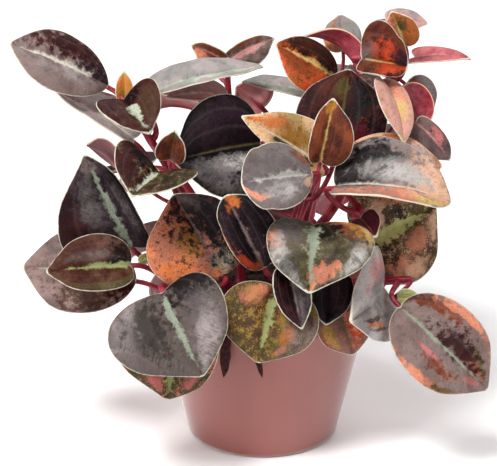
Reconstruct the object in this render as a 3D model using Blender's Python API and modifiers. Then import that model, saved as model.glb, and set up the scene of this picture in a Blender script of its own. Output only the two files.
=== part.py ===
"""Potted variegated peperomia: nursery pot, soil, branching stems and fleshy leaves.

Units in the tables are millimetres and degrees. World frame: origin under the middle
of the pot's flat base, +Z up, -Y toward the plant's front.
"""
import math
from collections import namedtuple

import bmesh
import bpy
from mathutils import Matrix, Vector, noise

MM = 0.001
MERGE_DISTANCE = 0.00001

# Pot: a thin tapered plastic nursery pot.
POT_HEIGHT = 52.0
POT_BASE_RADIUS = 25.4
POT_TOP_RADIUS = 37.6
POT_WALL = 1.2
POT_FLOOR = 1.6
POT_FOOT_ROUND = 2.4
LIP_HEIGHT = 3.5
LIP_PROUD = 0.8
LIP_EDGE = 0.6
LIP_DRAFT = 0.2
FOOT_STEPS = 4
POT_STEPS = 36
DRAIN_HOLES = 6
DRAIN_HOLE_RADIUS = 2.5
DRAIN_RING_RADIUS = 15.0
DRAIN_SIDES = 12

# Soil: fills the pot up to a little under the lip.
FIT_GAP = 0.35
SOIL_TOP = 45.0
SOIL_BUMP = 0.9
SOIL_BUMP_SIZE = 7.0
SOIL_CELLS = 10
SOCKET_DEPTH = 7.0
SOCKET_GAP = 0.6

# Stems and leaf stalks.
STEM_RADIUS = 1.6
STEM_TIP_RADIUS = 0.9
BRANCH_RADIUS = 1.4
SHOOT_SPANS = 3
STEM_SIDES = 1
STALK_RADIUS = 0.85
STALK_SIDES = 1
STALK_GAP = 0.5
STALK_SPANS = 3
STALK_BEND = 0.4
STALK_LEAD = 1.0
STALK_DROP = 0.4
STALK_REACH = 3.0
STALK_DEPTH = 0.55
STALK_END = 0.08

# Leaf blades.
BLADE_THICKNESS = 0.8
BLADE_ROWS = 6
BLADE_COLUMNS = 4
TIP_BLUNTNESS = 0.72
HEART = 0.20

# Growing shoots: hand-placed points from the soil, or from the shoot that it branches
# off, to the growing tip. A root shoot's first point has no height: it starts in a socket.
SHOOTS = {
    "a": ((-10, 4), (-16, 4, 60), (-30, 4, 90), (-42, 1, 112)),
    "b": ((-16, 4, 60), (-22, -4, 72), (-31, -12, 97)),
    "c": ((-15, -16, 53), (-25, -15, 57), (-37, -14, 66)),
    "d": ((-13, -13), (-17, -20, 56), (-23, -30, 62)),
    "e": ((3, -9), (5, -14, 57), (9, -20, 80), (14, -21, 97)),
    "f": ((5, -14, 57), (11, -2, 75), (20, 2, 97)),
    "g": ((15, -4), (21, -9, 58), (28, -14, 76), (32, -17, 87)),
    "h": ((18, -6, 52), (27, -11, 57), (37, -15, 60), (48, -20, 63)),
    "i": ((10, 9), (13, 14, 65), (27, 18, 120)),
    "j": ((12, 12, 60), (27, 10, 82), (43, 16, 122)),
    "k": ((-7, 13), (-9, 19, 70), (-12, 28, 120)),
    "m": ((-8, 16, 60), (-22, 28, 70), (-33, 35, 88)),
    "n": ((10, 19), (17, 32, 68), (22, 42, 90)),
}

# Plants in the pot: the root shoot first, then the shoots that branch off it.
PLANTS = {
    "stem_left": ("a", "b"),
    "stem_front": ("d", "c"),
    "stem_middle": ("e", "f"),
    "stem_right": ("g", "h"),
    "stem_top": ("i", "j"),
    "stem_back_left": ("k", "m"),
    "stem_back_right": ("n",),
}

LEAF_FIELDS = "name shoot height base tip faces width belly cup arch twist lean"
Leaf = namedtuple("Leaf", LEAF_FIELDS, defaults=(0.0,))

# One row a leaf: the shoot it grows on and the height where its stalk leaves the shoot,
# the blade's base and tip points, the compass bearing and elevation its upper side faces
# (-90 is toward the plant's front), full width, where along it the blade is widest,
# cupping, arching, twist, and lean: how much wider the lobe on the left-hand side, base to
# tip and seen from above, is than the other one.
LEAVES = (
    Leaf("leaf_a1", "a", 108, (-51, 8, 120), (-82, 2, 136), (-90, 48), 22, .58, .10, .06, 10, .05),
    Leaf("leaf_a2", "a", 90, (-43, 4, 103), (-68, 10, 117), (-90, 80), 19, .42, .10, .05, 0, -.35),
    Leaf("leaf_a3", "a", 111, (-45, -6, 120), (-36, -20, 113), (-90, 52), 21, .32, .45, .05, 0),
    Leaf("leaf_a4", "a", 103, (-36, 4, 119), (0, 12, 125), (-90, 85), 20, .42, .25, .04, 0),
    Leaf("leaf_a5", "a", 80, (-49, 16, 90), (-60, 26, 93), (90, 20), 11, .42, .12, .10, 0),
    Leaf("leaf_b1", "b", 94, (-33, -26, 103), (-41, -41, 100), (-90, 58), 28, .28, .45, .00, 0),
    Leaf("leaf_b2", "b", 72, (-43, -16, 73), (-57, -22, 107), (-90, 15), 27, .38, .12, .08, 0, .46),
    Leaf("leaf_c1", "c", 58, (-42, -12, 59), (-79, -12, 64), (-90, 35), 28, .56, .10, .06, 0),
    Leaf("leaf_c2", "c", 64, (-43, -27, 71), (-69, -35, 72), (-90, 35), 19, .45, .20, .06, 0, -.10),
    Leaf("leaf_d1", "d", 61, (-32, -38, 66), (-19, -55, 45), (-95, 20), 40, .41, .18, .10, 0, -.10),
    Leaf("leaf_d2", "d", 54, (-27, -37, 52), (-31, -43, 31), (-95, 15), 35, .30, .10, .10, 0, -.20),
    Leaf("leaf_d3", "d", 59, (-13, -25, 67), (-29, -16, 91), (-85, 20), 32, .50, .10, .08, 0, .18),
    Leaf("leaf_e1", "e", 66, (0, -31, 72), (-12, -27, 95), (-90, 20), 17, .52, .10, .08, 0, -.20),
    Leaf("leaf_e2", "e", 94, (15, -31, 104), (-7, -38, 103), (-90, 35), 22, .56, .20, .05, 0),
    Leaf("leaf_e3", "e", 78, (16, -30, 86), (14, -52, 72), (-90, 40), 34, .42, .12, .10, 0, .14),
    Leaf("leaf_e4", "e", 63, (4, -36, 67), (-2, -45, 45), (-90, 15), 32, .45, .10, .10, 0),
    Leaf("leaf_e5", "e", 74, (8, -38, 75), (12, -48, 58), (-95, 15), 12, .42, .60, .05, 0),
    Leaf("leaf_f1", "f", 88, (-1, -3, 104), (-29, -12, 101), (-90, 35), 36, .42, .08, .08, 0),
    Leaf("leaf_f2", "f", 92, (19, -10, 99), (-7, -14, 117), (-90, 30), 15, .36, .15, .08, 0, -.42),
    Leaf("leaf_f3", "e", 95, (18, -23, 105), (22, -20, 125), (-90, 15), 14, .42, .25, .05, 0, -.30),
    Leaf("leaf_f4", "f", 84, (24, -3, 102), (28, 7, 126), (-90, 30), 30, .42, .10, .10, 0),
    Leaf("leaf_g1", "g", 85, (23, -25, 97), (59, -31, 94), (-90, 54), 23, .43, .30, .14, 0, .40),
    Leaf("leaf_g2", "g", 86, (28, -13, 98), (58, -8, 98), (-90, 40), 22, .42, .10, .10, 0),
    Leaf("leaf_g3", "g", 62, (33, -8, 70), (57, 0, 81), (-85, 20), 37, .42, .10, .10, 0),
    Leaf("leaf_h1", "h", 59, (39, -24, 62), (27, -44, 59), (-45, 12), 32, .28, .10, .05, 0),
    Leaf("leaf_h2", "h", 62, (44, -33, 59), (72, -40, 33), (-95, 30), 28, .50, .10, .08, 0),
    Leaf("leaf_h3", "g", 60, (22, -28, 69), (20, -36, 54), (-90, 15), 15, .42, .20, .10, 0),
    Leaf("leaf_h4", "h", 56, (23, -30, 61), (29, -35, 43), (-90, 20), 18, .50, .10, .10, 0),
    Leaf("leaf_i1", "i", 112, (24, 15, 120), (4, 9, 134), (-90, 40), 18, .56, .20, .08, 0, .25),
    Leaf("leaf_i2", "i", 115, (32, 17, 121), (13, 17, 134), (90, 50), 11, .42, .30, .28, 0),
    Leaf("leaf_i4", "i", 102, (19, 25, 110), (-7, 21, 117), (-90, 85), 16, .42, .10, .05, 0),
    Leaf("leaf_i5", "i", 96, (24, 30, 106), (30, 54, 112), (80, 50), 28, .42, .12, .10, 0),
    Leaf("leaf_j1", "j", 121, (32, 6, 130), (47, 4, 128), (-90, 20), 18, .35, .20, .05, 0, .48),
    Leaf("leaf_j2", "j", 120, (47, 17, 131), (42, 16, 143), (-90, 20), 12, .42, .20, .08, 0),
    Leaf("leaf_j4", "j", 118, (51, 26, 124), (69, 18, 126), (-90, 75), 11, .22, .10, .05, 0),
    Leaf("leaf_j5", "j", 112, (39, 8, 122), (45, -12, 107), (-60, 10), 13, .50, .20, .12, 0, -.25),
    Leaf("leaf_j6", "j", 116, (45, 11, 118), (53, 8, 103), (70, 20), 14, .42, .20, .20, 0),
    Leaf("leaf_j7", "j", 98, (48, 22, 116), (57, 22, 106), (-90, 30), 14, .42, .10, .08, 0),
    Leaf("leaf_j8", "j", 96, (50, 3, 109), (61, -3, 98), (-80, 40), 13, .42, .10, .10, 0, -.40),
    Leaf("leaf_j9", "j", 88, (44, 22, 94), (60, 36, 92), (40, 50), 24, .42, .12, .10, 0),
    Leaf("leaf_k3", "k", 104, (-12, 16, 113), (-32, 10, 115), (-90, 80), 18, .42, .20, .08, 0),
    Leaf("leaf_k4", "k", 92, (-18, 34, 102), (-44, 46, 98), (120, 50), 28, .42, .12, .10, 0),
    Leaf("leaf_k5", "k", 88, (0, 30, 105), (-9, 35, 111), (90, 0), 17, .42, .12, .10, 0),
    Leaf("leaf_k6", "k", 104, (-14, 42, 112), (-24, 64, 106), (110, 50), 28, .42, .12, .10, 0),
    Leaf("leaf_m1", "m", 82, (-40, 40, 80), (-60, 48, 70), (150, 50), 28, .42, .12, .10, 0),
    Leaf("leaf_m2", "m", 74, (-32, 42, 74), (-44, 64, 60), (120, 45), 32, .42, .12, .10, 0),
    Leaf("leaf_m3", "m", 66, (-32, 24, 60), (-58, 24, 44), (180, 45), 28, .42, .12, .10, 0),
    Leaf("leaf_n1", "n", 84, (28, 42, 90), (52, 44, 84), (30, 50), 28, .42, .12, .10, 0),
    Leaf("leaf_n2", "n", 66, (20, 46, 67), (22, 68, 51), (90, 40), 32, .42, .12, .10, 0),
    Leaf("leaf_n3", "n", 60, (11, 29, 66), (-6, 33, 67), (90, 30), 20, .42, .12, .10, 0),
    Leaf("leaf_n4", "n", 88, (24, 52, 98), (36, 72, 96), (70, 50), 28, .42, .12, .10, 0),
)

# Young leaves at the growing tips, one piece with their stem.
YOUNG_LEAVES = (
    Leaf("young_a1", "a", 111, (-45, 1, 117), (-45, 0, 128), (-90, 20), 6, .42, .30, .05, 0),
    Leaf("young_b1", "b", 96, (-30, -18, 104), (-28, -21, 115), (-90, 20), 10, .40, .30, .10, 0),
    Leaf("young_c1", "c", 65, (-40, -20, 69), (-34, -23, 73), (-90, 40), 4, .42, .30, .05, 0),
    Leaf("young_g1", "g", 78, (31, -22, 85), (36, -28, 81), (-90, 40), 10, .42, .50, .10, 0),
    Leaf("young_h1", "h", 63, (44, -24, 58), (51, -26, 59), (-90, 30), 6, .42, .30, .05, 0),
    Leaf("young_i1", "i", 110, (27, 28, 126), (26, 33, 137), (-90, 25), 13, .42, .15, .08, 0),
    Leaf("young_j1", "j", 121, (41, 27, 137), (55, 29, 135), (-90, 45), 8, .42, .15, .08, 0),
    Leaf("young_k1", "k", 119, (-13, 26, 123), (-24, 24, 129), (-90, 40), 9, .42, .20, .08, 0, .48),
    Leaf("young_k2", "k", 119, (-11, 31, 122), (4, 35, 128), (-90, 50), 11, .38, .20, .08, 0, -.48),
)


def clear_scene():
    for item in list(bpy.data.objects):
        bpy.data.objects.remove(item, do_unlink=True)


def new_collection(name):
    group = bpy.data.collections.new(name)
    bpy.context.scene.collection.children.link(group)
    return group


def material(name, colour, roughness):
    mat = bpy.data.materials.new(name)
    mat.use_nodes = True
    shader = mat.node_tree.nodes["Principled BSDF"]
    shader.inputs["Base Color"].default_value = (*colour, 1.0)
    shader.inputs["Roughness"].default_value = roughness
    shader.inputs["Metallic"].default_value = 0.0
    mat.diffuse_color = (*colour, 1.0)
    return mat


def object_from_bmesh(name, bm, group, mat):
    mesh = bpy.data.meshes.new(name)
    bm.to_mesh(mesh)
    bm.free()
    mesh.materials.append(mat)
    mesh.shade_smooth()
    item = bpy.data.objects.new(name, mesh)
    group.objects.link(item)
    return item


def as_cutter(item):
    item.hide_render = True
    item.display_type = "WIRE"
    return item


def add_boolean(item, other, operation):
    cut = item.modifiers.new(other.name, "BOOLEAN")
    cut.operation = operation
    cut.solver = "EXACT"
    cut.object = other


def smooth_route(points, spans):
    """Catmull-Rom curve through the points, with this many spans between each pair."""
    ends = [2 * points[0] - points[1]] + list(points) + [2 * points[-1] - points[-2]]
    route = []
    for index in range(len(points) - 1):
        before, start, end, after = ends[index:index + 4]
        for step in range(spans):
            t = step / spans
            route.append(
                0.5 * (2 * start + (end - before) * t
                       + (2 * before - 5 * start + 4 * end - after) * t * t
                       + (3 * start - before - 3 * end + after) * t ** 3))
    route.append(points[-1].copy())
    return route


def tube(name, points, radii, sides, group, mat):
    """Closed tube along a polyline, as a mesh with welded end caps."""
    curve = bpy.data.curves.new(name, "CURVE")
    curve.dimensions = "3D"
    curve.bevel_depth = 1.0
    curve.bevel_resolution = sides
    curve.use_fill_caps = True
    spline = curve.splines.new("POLY")
    spline.points.add(len(points) - 1)
    for knot, point, radius in zip(spline.points, points, radii):
        knot.co = (*(point * MM), 1.0)
        knot.radius = radius * MM
    source = bpy.data.objects.new(name + "_curve", curve)
    group.objects.link(source)
    bpy.context.view_layer.update()
    evaluated = source.evaluated_get(bpy.context.evaluated_depsgraph_get())
    mesh = bpy.data.meshes.new_from_object(evaluated)
    bm = bmesh.new()
    bm.from_mesh(mesh)
    bmesh.ops.remove_doubles(bm, verts=bm.verts, dist=MERGE_DISTANCE)
    bmesh.ops.recalc_face_normals(bm, faces=bm.faces)
    item = object_from_bmesh(name, bm, group, mat)
    item.matrix_world = source.matrix_world.copy()
    bpy.data.meshes.remove(mesh)
    bpy.data.objects.remove(source, do_unlink=True)
    return item


def pot_radius(height):
    """Outer radius of the tapered wall at a height."""
    return POT_BASE_RADIUS + (POT_TOP_RADIUS - POT_BASE_RADIUS) * height / POT_HEIGHT


def pot_profile():
    """Section from the inner floor's middle, over the lip, down to the base's middle."""
    inside_floor = pot_radius(POT_FLOOR) - POT_WALL
    lip_bottom = POT_HEIGHT - LIP_HEIGHT
    lip_radius = POT_TOP_RADIUS + LIP_PROUD
    points = [
        (0.0, POT_FLOOR),
        (inside_floor - POT_FOOT_ROUND / 2, POT_FLOOR),
        (pot_radius(POT_FLOOR + POT_FOOT_ROUND / 2) - POT_WALL, POT_FLOOR + POT_FOOT_ROUND / 2),
        (POT_TOP_RADIUS - POT_WALL, POT_HEIGHT - LIP_EDGE),
        (POT_TOP_RADIUS - POT_WALL + LIP_EDGE, POT_HEIGHT),
        (lip_radius - LIP_EDGE, POT_HEIGHT),
        (lip_radius, POT_HEIGHT - LIP_EDGE),
        (lip_radius - LIP_DRAFT, lip_bottom),
        (pot_radius(lip_bottom - LIP_EDGE), lip_bottom - LIP_EDGE),
    ]
    centre = pot_radius(POT_FOOT_ROUND) - POT_FOOT_ROUND
    for step in range(FOOT_STEPS + 1):
        angle = math.radians(90.0 * step / FOOT_STEPS)
        points.append((centre + POT_FOOT_ROUND * math.cos(angle),
                       POT_FOOT_ROUND - POT_FOOT_ROUND * math.sin(angle)))
    points.append((0.0, 0.0))
    return points


def turned(name, profile, group, mat):
    """Solid of revolution about +Z from a profile of (radius, height) points."""
    bm = bmesh.new()
    corners = [bm.verts.new((radius * MM, 0.0, height * MM)) for radius, height in profile]
    for first, second in zip(corners, corners[1:]):
        bm.edges.new((first, second))
    item = object_from_bmesh(name, bm, group, mat)
    screw = item.modifiers.new("turn", "SCREW")
    screw.steps = POT_STEPS
    screw.render_steps = POT_STEPS
    screw.use_merge_vertices = True
    screw.merge_threshold = MERGE_DISTANCE
    return item


def build_pot(group, cutters):
    plastic = material("pot_plastic", (0.42, 0.17, 0.14), 0.45)
    pot = turned("pot", pot_profile(), group, plastic)
    for index in range(DRAIN_HOLES):
        angle = 2 * math.pi * index / DRAIN_HOLES
        bm = bmesh.new()
        bmesh.ops.create_cone(
            bm, cap_ends=True, segments=DRAIN_SIDES, radius1=DRAIN_HOLE_RADIUS * MM,
            radius2=DRAIN_HOLE_RADIUS * MM, depth=4 * POT_FLOOR * MM)
        drill = as_cutter(object_from_bmesh(f"drain_{index + 1}", bm, cutters, plastic))
        drill.location = Vector((math.cos(angle), math.sin(angle), 0.0)) * DRAIN_RING_RADIUS * MM
        add_boolean(pot, drill, "DIFFERENCE")
    return pot


def disc_point(x, y):
    """Maps the square -1..1 on the unit disc, keeping the grid's rows evenly spread."""
    return x * math.sqrt(1 - y * y / 2), y * math.sqrt(1 - x * x / 2)


def build_soil(group, cutters):
    earth = material("soil_peat", (0.03, 0.02, 0.015), 0.95)
    bottom = POT_FLOOR + FIT_GAP
    bottom_radius = pot_radius(POT_FLOOR) - POT_WALL - POT_FOOT_ROUND / 2 - FIT_GAP
    bm = bmesh.new()
    bmesh.ops.create_grid(bm, x_segments=SOIL_CELLS, y_segments=SOIL_CELLS, size=1.0)
    floor = bmesh.ops.extrude_face_region(bm, geom=bm.faces[:], use_keep_orig=True)
    lowered = {item for item in floor["geom"] if isinstance(item, bmesh.types.BMVert)}
    for vertex in bm.verts:
        x, y = disc_point(vertex.co.x, vertex.co.y)
        if vertex in lowered:
            vertex.co = Vector((x * bottom_radius, y * bottom_radius, bottom)) * MM
            continue
        bump = SOIL_BUMP * noise.noise(Vector((x, y, 0.0)) * POT_TOP_RADIUS / SOIL_BUMP_SIZE)
        height = SOIL_TOP + bump
        radius = pot_radius(height - SOIL_BUMP) - POT_WALL - FIT_GAP
        vertex.co = Vector((x * radius, y * radius, height)) * MM
    bmesh.ops.recalc_face_normals(bm, faces=bm.faces)
    soil = object_from_bmesh("soil", bm, group, earth)
    for name in filter(is_root, SHOOTS):
        middle = Vector((*SHOOTS[name][0], SOIL_TOP))
        reach = (Vector(SHOOTS[name][1]) - middle).normalized() * SOCKET_DEPTH
        drill = tube("socket_" + name, [middle - reach, middle + reach],
                     [STEM_RADIUS + SOCKET_GAP] * 2, STEM_SIDES, cutters, earth)
        add_boolean(soil, as_cutter(drill), "DIFFERENCE")
    return soil


def is_root(name):
    return len(SHOOTS[name][0]) == 2


def shoot_route(name):
    """Points along a shoot: a root shoot starts inside its socket, a branch inside its parent."""
    start, *rest = SHOOTS[name]
    if not is_root(name):
        return smooth_route([Vector(point) for point in SHOOTS[name]], SHOOT_SPANS)
    points = [Vector((*start, SOIL_TOP))] + [Vector(point) for point in rest]
    direction = (points[1] - points[0]).normalized()
    foot = points[0] - direction * (SOCKET_DEPTH - SOCKET_GAP)
    return [foot] + smooth_route(points, SHOOT_SPANS)


def build_shoot(name, group, skin):
    route = shoot_route(name)
    last = len(route) - 1
    full = STEM_RADIUS if is_root(name) else BRANCH_RADIUS
    radii = [full + (STEM_TIP_RADIUS - full) * (index / last) ** 2 for index in range(last + 1)]
    return tube("shoot_" + name, route, radii, STEM_SIDES, group, skin)


def build_stem(name, parts, cutters, skin):
    root, *branches = PLANTS[name]
    stem = build_shoot(root, parts, skin)
    stem.name = name
    for branch in branches:
        add_boolean(stem, as_cutter(build_shoot(branch, cutters, skin)), "UNION")
    for leaf in YOUNG_LEAVES:
        if leaf.shoot in PLANTS[name]:
            blade = build_leaf(leaf, cutters, cutters, skin, 0.0)
            add_boolean(stem, as_cutter(blade), "UNION")
    return stem


def point_on_shoot(name, height):
    """The shoot's centre line and direction at a height."""
    route = shoot_route(name)
    for start, end in zip(route, route[1:]):
        if start.z <= height <= end.z:
            share = (height - start.z) / (end.z - start.z)
            return start.lerp(end, share), (end - start).normalized()
    return route[-1], (route[-1] - route[-2]).normalized()


def leaf_frame(leaf):
    """Matrix whose X runs base to tip, Z points out of the leaf's upper side."""
    base = Vector(leaf.base)
    along = (Vector(leaf.tip) - base).normalized()
    bearing, elevation = (math.radians(angle) for angle in leaf.faces)
    facing = Vector((math.cos(elevation) * math.cos(bearing),
                     math.cos(elevation) * math.sin(bearing), math.sin(elevation)))
    across = facing.cross(along).normalized()
    above = along.cross(across)
    return Matrix((
        (along.x, across.x, above.x, base.x),
        (along.y, across.y, above.y, base.y),
        (along.z, across.z, above.z, base.z),
        (0.0, 0.0, 0.0, 1.0)))


def blade_point(leaf, u, v):
    """Point of the blade's middle surface in the leaf's frame: u base to tip, v edge to edge."""
    length = (Vector(leaf.tip) - Vector(leaf.base)).length
    half = leaf.width / 2
    bluntness = TIP_BLUNTNESS * leaf.belly / (1 - leaf.belly)
    peak = leaf.belly ** bluntness * (1 - leaf.belly) ** TIP_BLUNTNESS
    outline = max(u, 0.0) ** bluntness * max(1 - u, 0.0) ** TIP_BLUNTNESS / peak
    side = v * outline
    x = length * (u - HEART * abs(side) * (1 - u) ** 2)
    y = half * (side + leaf.lean * side * side)
    z = half * leaf.cup * side * side + length * leaf.arch * 4 * u * (1 - u)
    turn = math.radians(leaf.twist) * (u - 0.5)
    return Vector((x, y * math.cos(turn) - z * math.sin(turn),
                   y * math.sin(turn) + z * math.cos(turn)))


def build_blade(leaf, group, skin):
    frame = leaf_frame(leaf)
    bm = bmesh.new()
    bmesh.ops.create_grid(bm, x_segments=BLADE_ROWS, y_segments=BLADE_COLUMNS, size=1.0)
    for vertex in bm.verts:
        u = (1 - math.cos(math.pi * (vertex.co.x + 1) / 2)) / 2
        vertex.co = frame @ blade_point(leaf, u, vertex.co.y) * MM
    bmesh.ops.remove_doubles(bm, verts=bm.verts, dist=MERGE_DISTANCE)
    blade = object_from_bmesh(leaf.name, bm, group, skin)
    shell = blade.modifiers.new("thickness", "SOLIDIFY")
    shell.thickness = BLADE_THICKNESS * MM
    shell.offset = 0.0
    return blade


def stalk_route(leaf, clearance):
    """Curve from this far off the shoot's centre line to a little way under the blade."""
    frame = leaf_frame(leaf)
    centre, rise = point_on_shoot(leaf.shoot, leaf.height)
    base = Vector(leaf.base)
    outward = base - centre
    outward = (outward - rise * outward.dot(rise)).normalized()
    start = centre + outward * clearance
    arrive = frame @ Vector((-STALK_LEAD, 0.0, -STALK_DEPTH - STALK_DROP))
    under_blade = blade_point(leaf, STALK_END, 0).z - STALK_DEPTH
    end = frame @ Vector((STALK_REACH, 0.0, under_blade))
    reach = (arrive - start).length * STALK_BEND
    along = frame.to_3x3() @ Vector((1.0, 0.0, 0.0))
    bends = (start, start + outward * reach, arrive - along * reach, arrive)
    route = []
    for step in range(STALK_SPANS + 1):
        t = step / STALK_SPANS
        weights = ((1 - t) ** 3, 3 * t * (1 - t) ** 2, 3 * t * t * (1 - t), t ** 3)
        route.append(sum((bend * share for bend, share in zip(bends, weights)), Vector()))
    return route + [end]


def build_leaf(leaf, group, cutters, skin, clearance):
    blade = build_blade(leaf, group, skin)
    route = stalk_route(leaf, clearance)
    stalk = tube(leaf.name + "_stalk", route, [STALK_RADIUS] * len(route), STALK_SIDES,
                 cutters, skin)
    add_boolean(blade, as_cutter(stalk), "UNION")
    return blade


def build():
    clear_scene()
    parts = new_collection("potted_peperomia")
    cutters = new_collection("cutters")
    build_pot(parts, cutters)
    build_soil(parts, cutters)
    stem_skin = material("stem_skin", (0.35, 0.05, 0.06), 0.5)
    leaf_skin = material("leaf_skin", (0.08, 0.05, 0.05), 0.35)
    for name in PLANTS:
        build_stem(name, parts, cutters, stem_skin)
    for leaf in LEAVES:
        build_leaf(leaf, parts, cutters, leaf_skin, STEM_RADIUS + STALK_GAP)


build()
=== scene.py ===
"""Looks of the potted peperomia: fleshy two-sided leaves, rooted stems, peat and pot.

Lengths are millimetres and angles degrees, unless a name says otherwise. The tables of
shoots and leaves are the ones that the CAD part is modelled from, so each piece made here
lies where the CAD node that it replaces does.
"""
import math
import random
from collections import namedtuple
from types import SimpleNamespace

import bmesh
import bpy
import numpy as np
from mathutils import Matrix, Vector, noise
from mathutils.geometry import interpolate_bezier


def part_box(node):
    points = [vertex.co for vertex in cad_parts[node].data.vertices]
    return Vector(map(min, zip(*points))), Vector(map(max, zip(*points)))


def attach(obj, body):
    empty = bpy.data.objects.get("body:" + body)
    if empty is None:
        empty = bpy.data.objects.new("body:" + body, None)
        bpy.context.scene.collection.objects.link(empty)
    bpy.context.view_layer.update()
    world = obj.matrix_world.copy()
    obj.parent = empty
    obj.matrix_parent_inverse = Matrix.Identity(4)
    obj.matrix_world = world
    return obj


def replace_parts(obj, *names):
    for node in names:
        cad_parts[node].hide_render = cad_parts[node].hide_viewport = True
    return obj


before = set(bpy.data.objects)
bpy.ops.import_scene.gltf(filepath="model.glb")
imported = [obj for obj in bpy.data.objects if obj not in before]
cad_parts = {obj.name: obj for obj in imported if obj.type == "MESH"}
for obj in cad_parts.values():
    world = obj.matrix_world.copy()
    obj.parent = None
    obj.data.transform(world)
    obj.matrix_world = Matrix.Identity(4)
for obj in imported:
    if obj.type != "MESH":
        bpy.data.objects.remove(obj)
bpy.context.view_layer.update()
MM = 0.001
SEED = 7
SEED_STEP = 3.7
YOUNG_SEEDS = 100

# Camera: where it aims, how far off it stands, how steeply it looks down.
FRAME_WIDTH_PX = 497
SENSOR_MM = 36.0
CAMERA_DISTANCE = 700.0
CAMERA_ELEVATION = 22.0
CAMERA_TARGET = (-4.8, 0.0, 71.2)
PIXELS_PER_MM = 3.0

# Sizes shared with the CAD part.
POT_HEIGHT = 52.0
POT_BASE_RADIUS = 25.4
POT_TOP_RADIUS = 37.6
POT_WALL = 1.2
POT_FLOOR = 1.6
POT_FOOT_ROUND = 2.4
LIP_HEIGHT = 3.5
LIP_PROUD = 0.8
LIP_EDGE = 0.6
LIP_DRAFT = 0.2
DRAIN_HOLES = 6
DRAIN_HOLE_RADIUS = 2.5
DRAIN_RING_RADIUS = 15.0
FIT_GAP = 0.35
SOIL_TOP = 45.0
SOIL_BUMP = 0.9
SOIL_BUMP_SIZE = 7.0
SOCKET_DEPTH = 7.0
SOCKET_GAP = 0.6
STEM_RADIUS = 1.6
STEM_TIP_RADIUS = 0.9
BRANCH_RADIUS = 1.4
STALK_RADIUS = 0.85
STALK_BEND = 0.4
STALK_LEAD = 1.0
STALK_DROP = 0.4
STALK_DEPTH = 0.55
BLADE_THICKNESS = 0.8
TIP_BLUNTNESS = 0.72
HEART = 0.20

# How far a piece's box may lie from the box of the node that it replaces.
BOX_SLACK = 3.0

# Fineness of the meshes made here. EVEN_COLUMNS is the evenly spread share of a blade's
# columns' spacing; the rest crowds them toward the margins.
POT_STEPS = 96
FOOT_STEPS = 8
DRAIN_SIDES = 24
MERGE_DISTANCE = 0.01
SHARP_ANGLE = 35.0
SOIL_CELLS = 72
SHOOT_SPANS = 10
STALK_SPANS = 12
TUBE_SIDES = 14
BLADE_ROWS = 44
BLADE_COLUMNS = 36
EVEN_COLUMNS = 0.45
OUTLINE_POINTS = 90
FINE_OUTLINE_POINTS = 540

# Outline of a blade near its tip, pinched on most leaves and full on the round-tipped ones.
TIP_START = 0.72
TIP_PINCH = 0.45
TIP_ROUNDING = 0.55
ROUND_TIPS = ("leaf_e1", "leaf_e2", "leaf_g1", "leaf_j1")

# Form of a blade: cupped sides, full lobes, rounded edges, a keel under the midrib.
CUP_CREASE = 1.35
LOBE = 0.12
EDGE_ROUNDING = 14
KEEL = 0.5
KEEL_HALF_WIDTH = 0.9

# Relief of a blade: the midrib's channel, the long side veins, puckers, wavy margins.
FULL_RELIEF_WIDTH = 24.0
RIB_DEPTH = 0.38
RIB_HALF_WIDTH = 0.75
VEINS = (0.36, 0.70)
VEIN_DEPTH = 0.16
VEIN_SPREAD = 0.055
PUCKER = 0.60
PUCKER_SIZE = 6.5
RIPPLE = 0.10
RIPPLE_SIZE = 1.8
RIPPLE_SEED = 5.5
WAVE = 0.75
WAVE_SIZE = 7.0
WAVE_SEED = 9.5

# Stalks and stems: flare at the shoot, keel under the blade as (share of the blade's
# length, radius), the flesh over the CAD radius, swollen joints and blunt tips.
STALK_FLARE = 0.55
STALK_KEEL = ((0.06, 0.80), (0.14, 0.70), (0.26, 0.52), (0.40, 0.32), (0.55, 0.12))
SMALL_LEAF_WIDTH = 14.0
SMALL_STALK = 0.75
STEM_FLESH = 0.35
JOINT_SWELL = 0.22
JOINT_LENGTH = 1.8
TIP_LENGTH = 0.7
TIP_TAPER = 0.45

# Peat grain, loose crumbs and the dead scraps on the pot's front.
SOIL_GRAIN = 0.55
SOIL_GRAIN_SIZE = 1.6
CRUMBS = 520
CRUMB_FIELD = 33.0
CRUMB_SIZES = (0.7, 2.2)
CRUMB_LENGTHS = (1.0, 1.3, 1.7, 3.2)
CRUMB_TILT = 0.4
CRUMB_FLATNESS = 0.8
CRUMB_LIFT = 0.3
CRUMB_ROUGHNESS = 0.22
CRUMB_ROUGHNESS_SCALE = 1.7
SCRAP_CELLS = (8, 14)
SCRAP_STUB = 0.15
SCRAP_RAG = 0.35
SCRAP_CRINKLE = 0.7
SCRAP_CURL = 0.9
SCRAP_GAP = 0.3
SCRAP_THICKNESS = 0.25
# name, bearing, top height, length, width, sideways lean
SCRAPS = (
    ("dry_scrap_left", -107.5, 51.0, 16.0, 3.8, -1.6),
    ("dry_scrap_right", -94.5, 51.0, 15.0, 2.4, 2.6),
    ("dry_scrap_small", -90.5, 51.0, 9.5, 2.0, 0.5),
)

# Brush strokes on a blade run aslant from its midrib: their slant, how far they stray,
# and how much their noise is squeezed across and stretched along them.
STROKE_SLANT = 1.1
STROKE_STRAY = 2.6
STROKE_SQUEEZE = 1.35
STROKE_STRETCH = 0.34

# How a leaf's marks are laid: the sheen tones are painted highlights of the satin skin,
# brushed on in strokes; deep tones lie whole; the others are pigment in islands. A thinned
# mark fades to its least share as its signal runs from one limit to the other.
MARK_KINDS = {"lilac": "film", "slate": "film", "silver": "film", "taupe": "film",
              "soot": "deep", "plum": "deep", "maroon": "deep", "charcoal": "deep"}
MARK_SOFTNESS = {"pigment": 0.38, "deep": 0.38, "film": 0.42}
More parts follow.
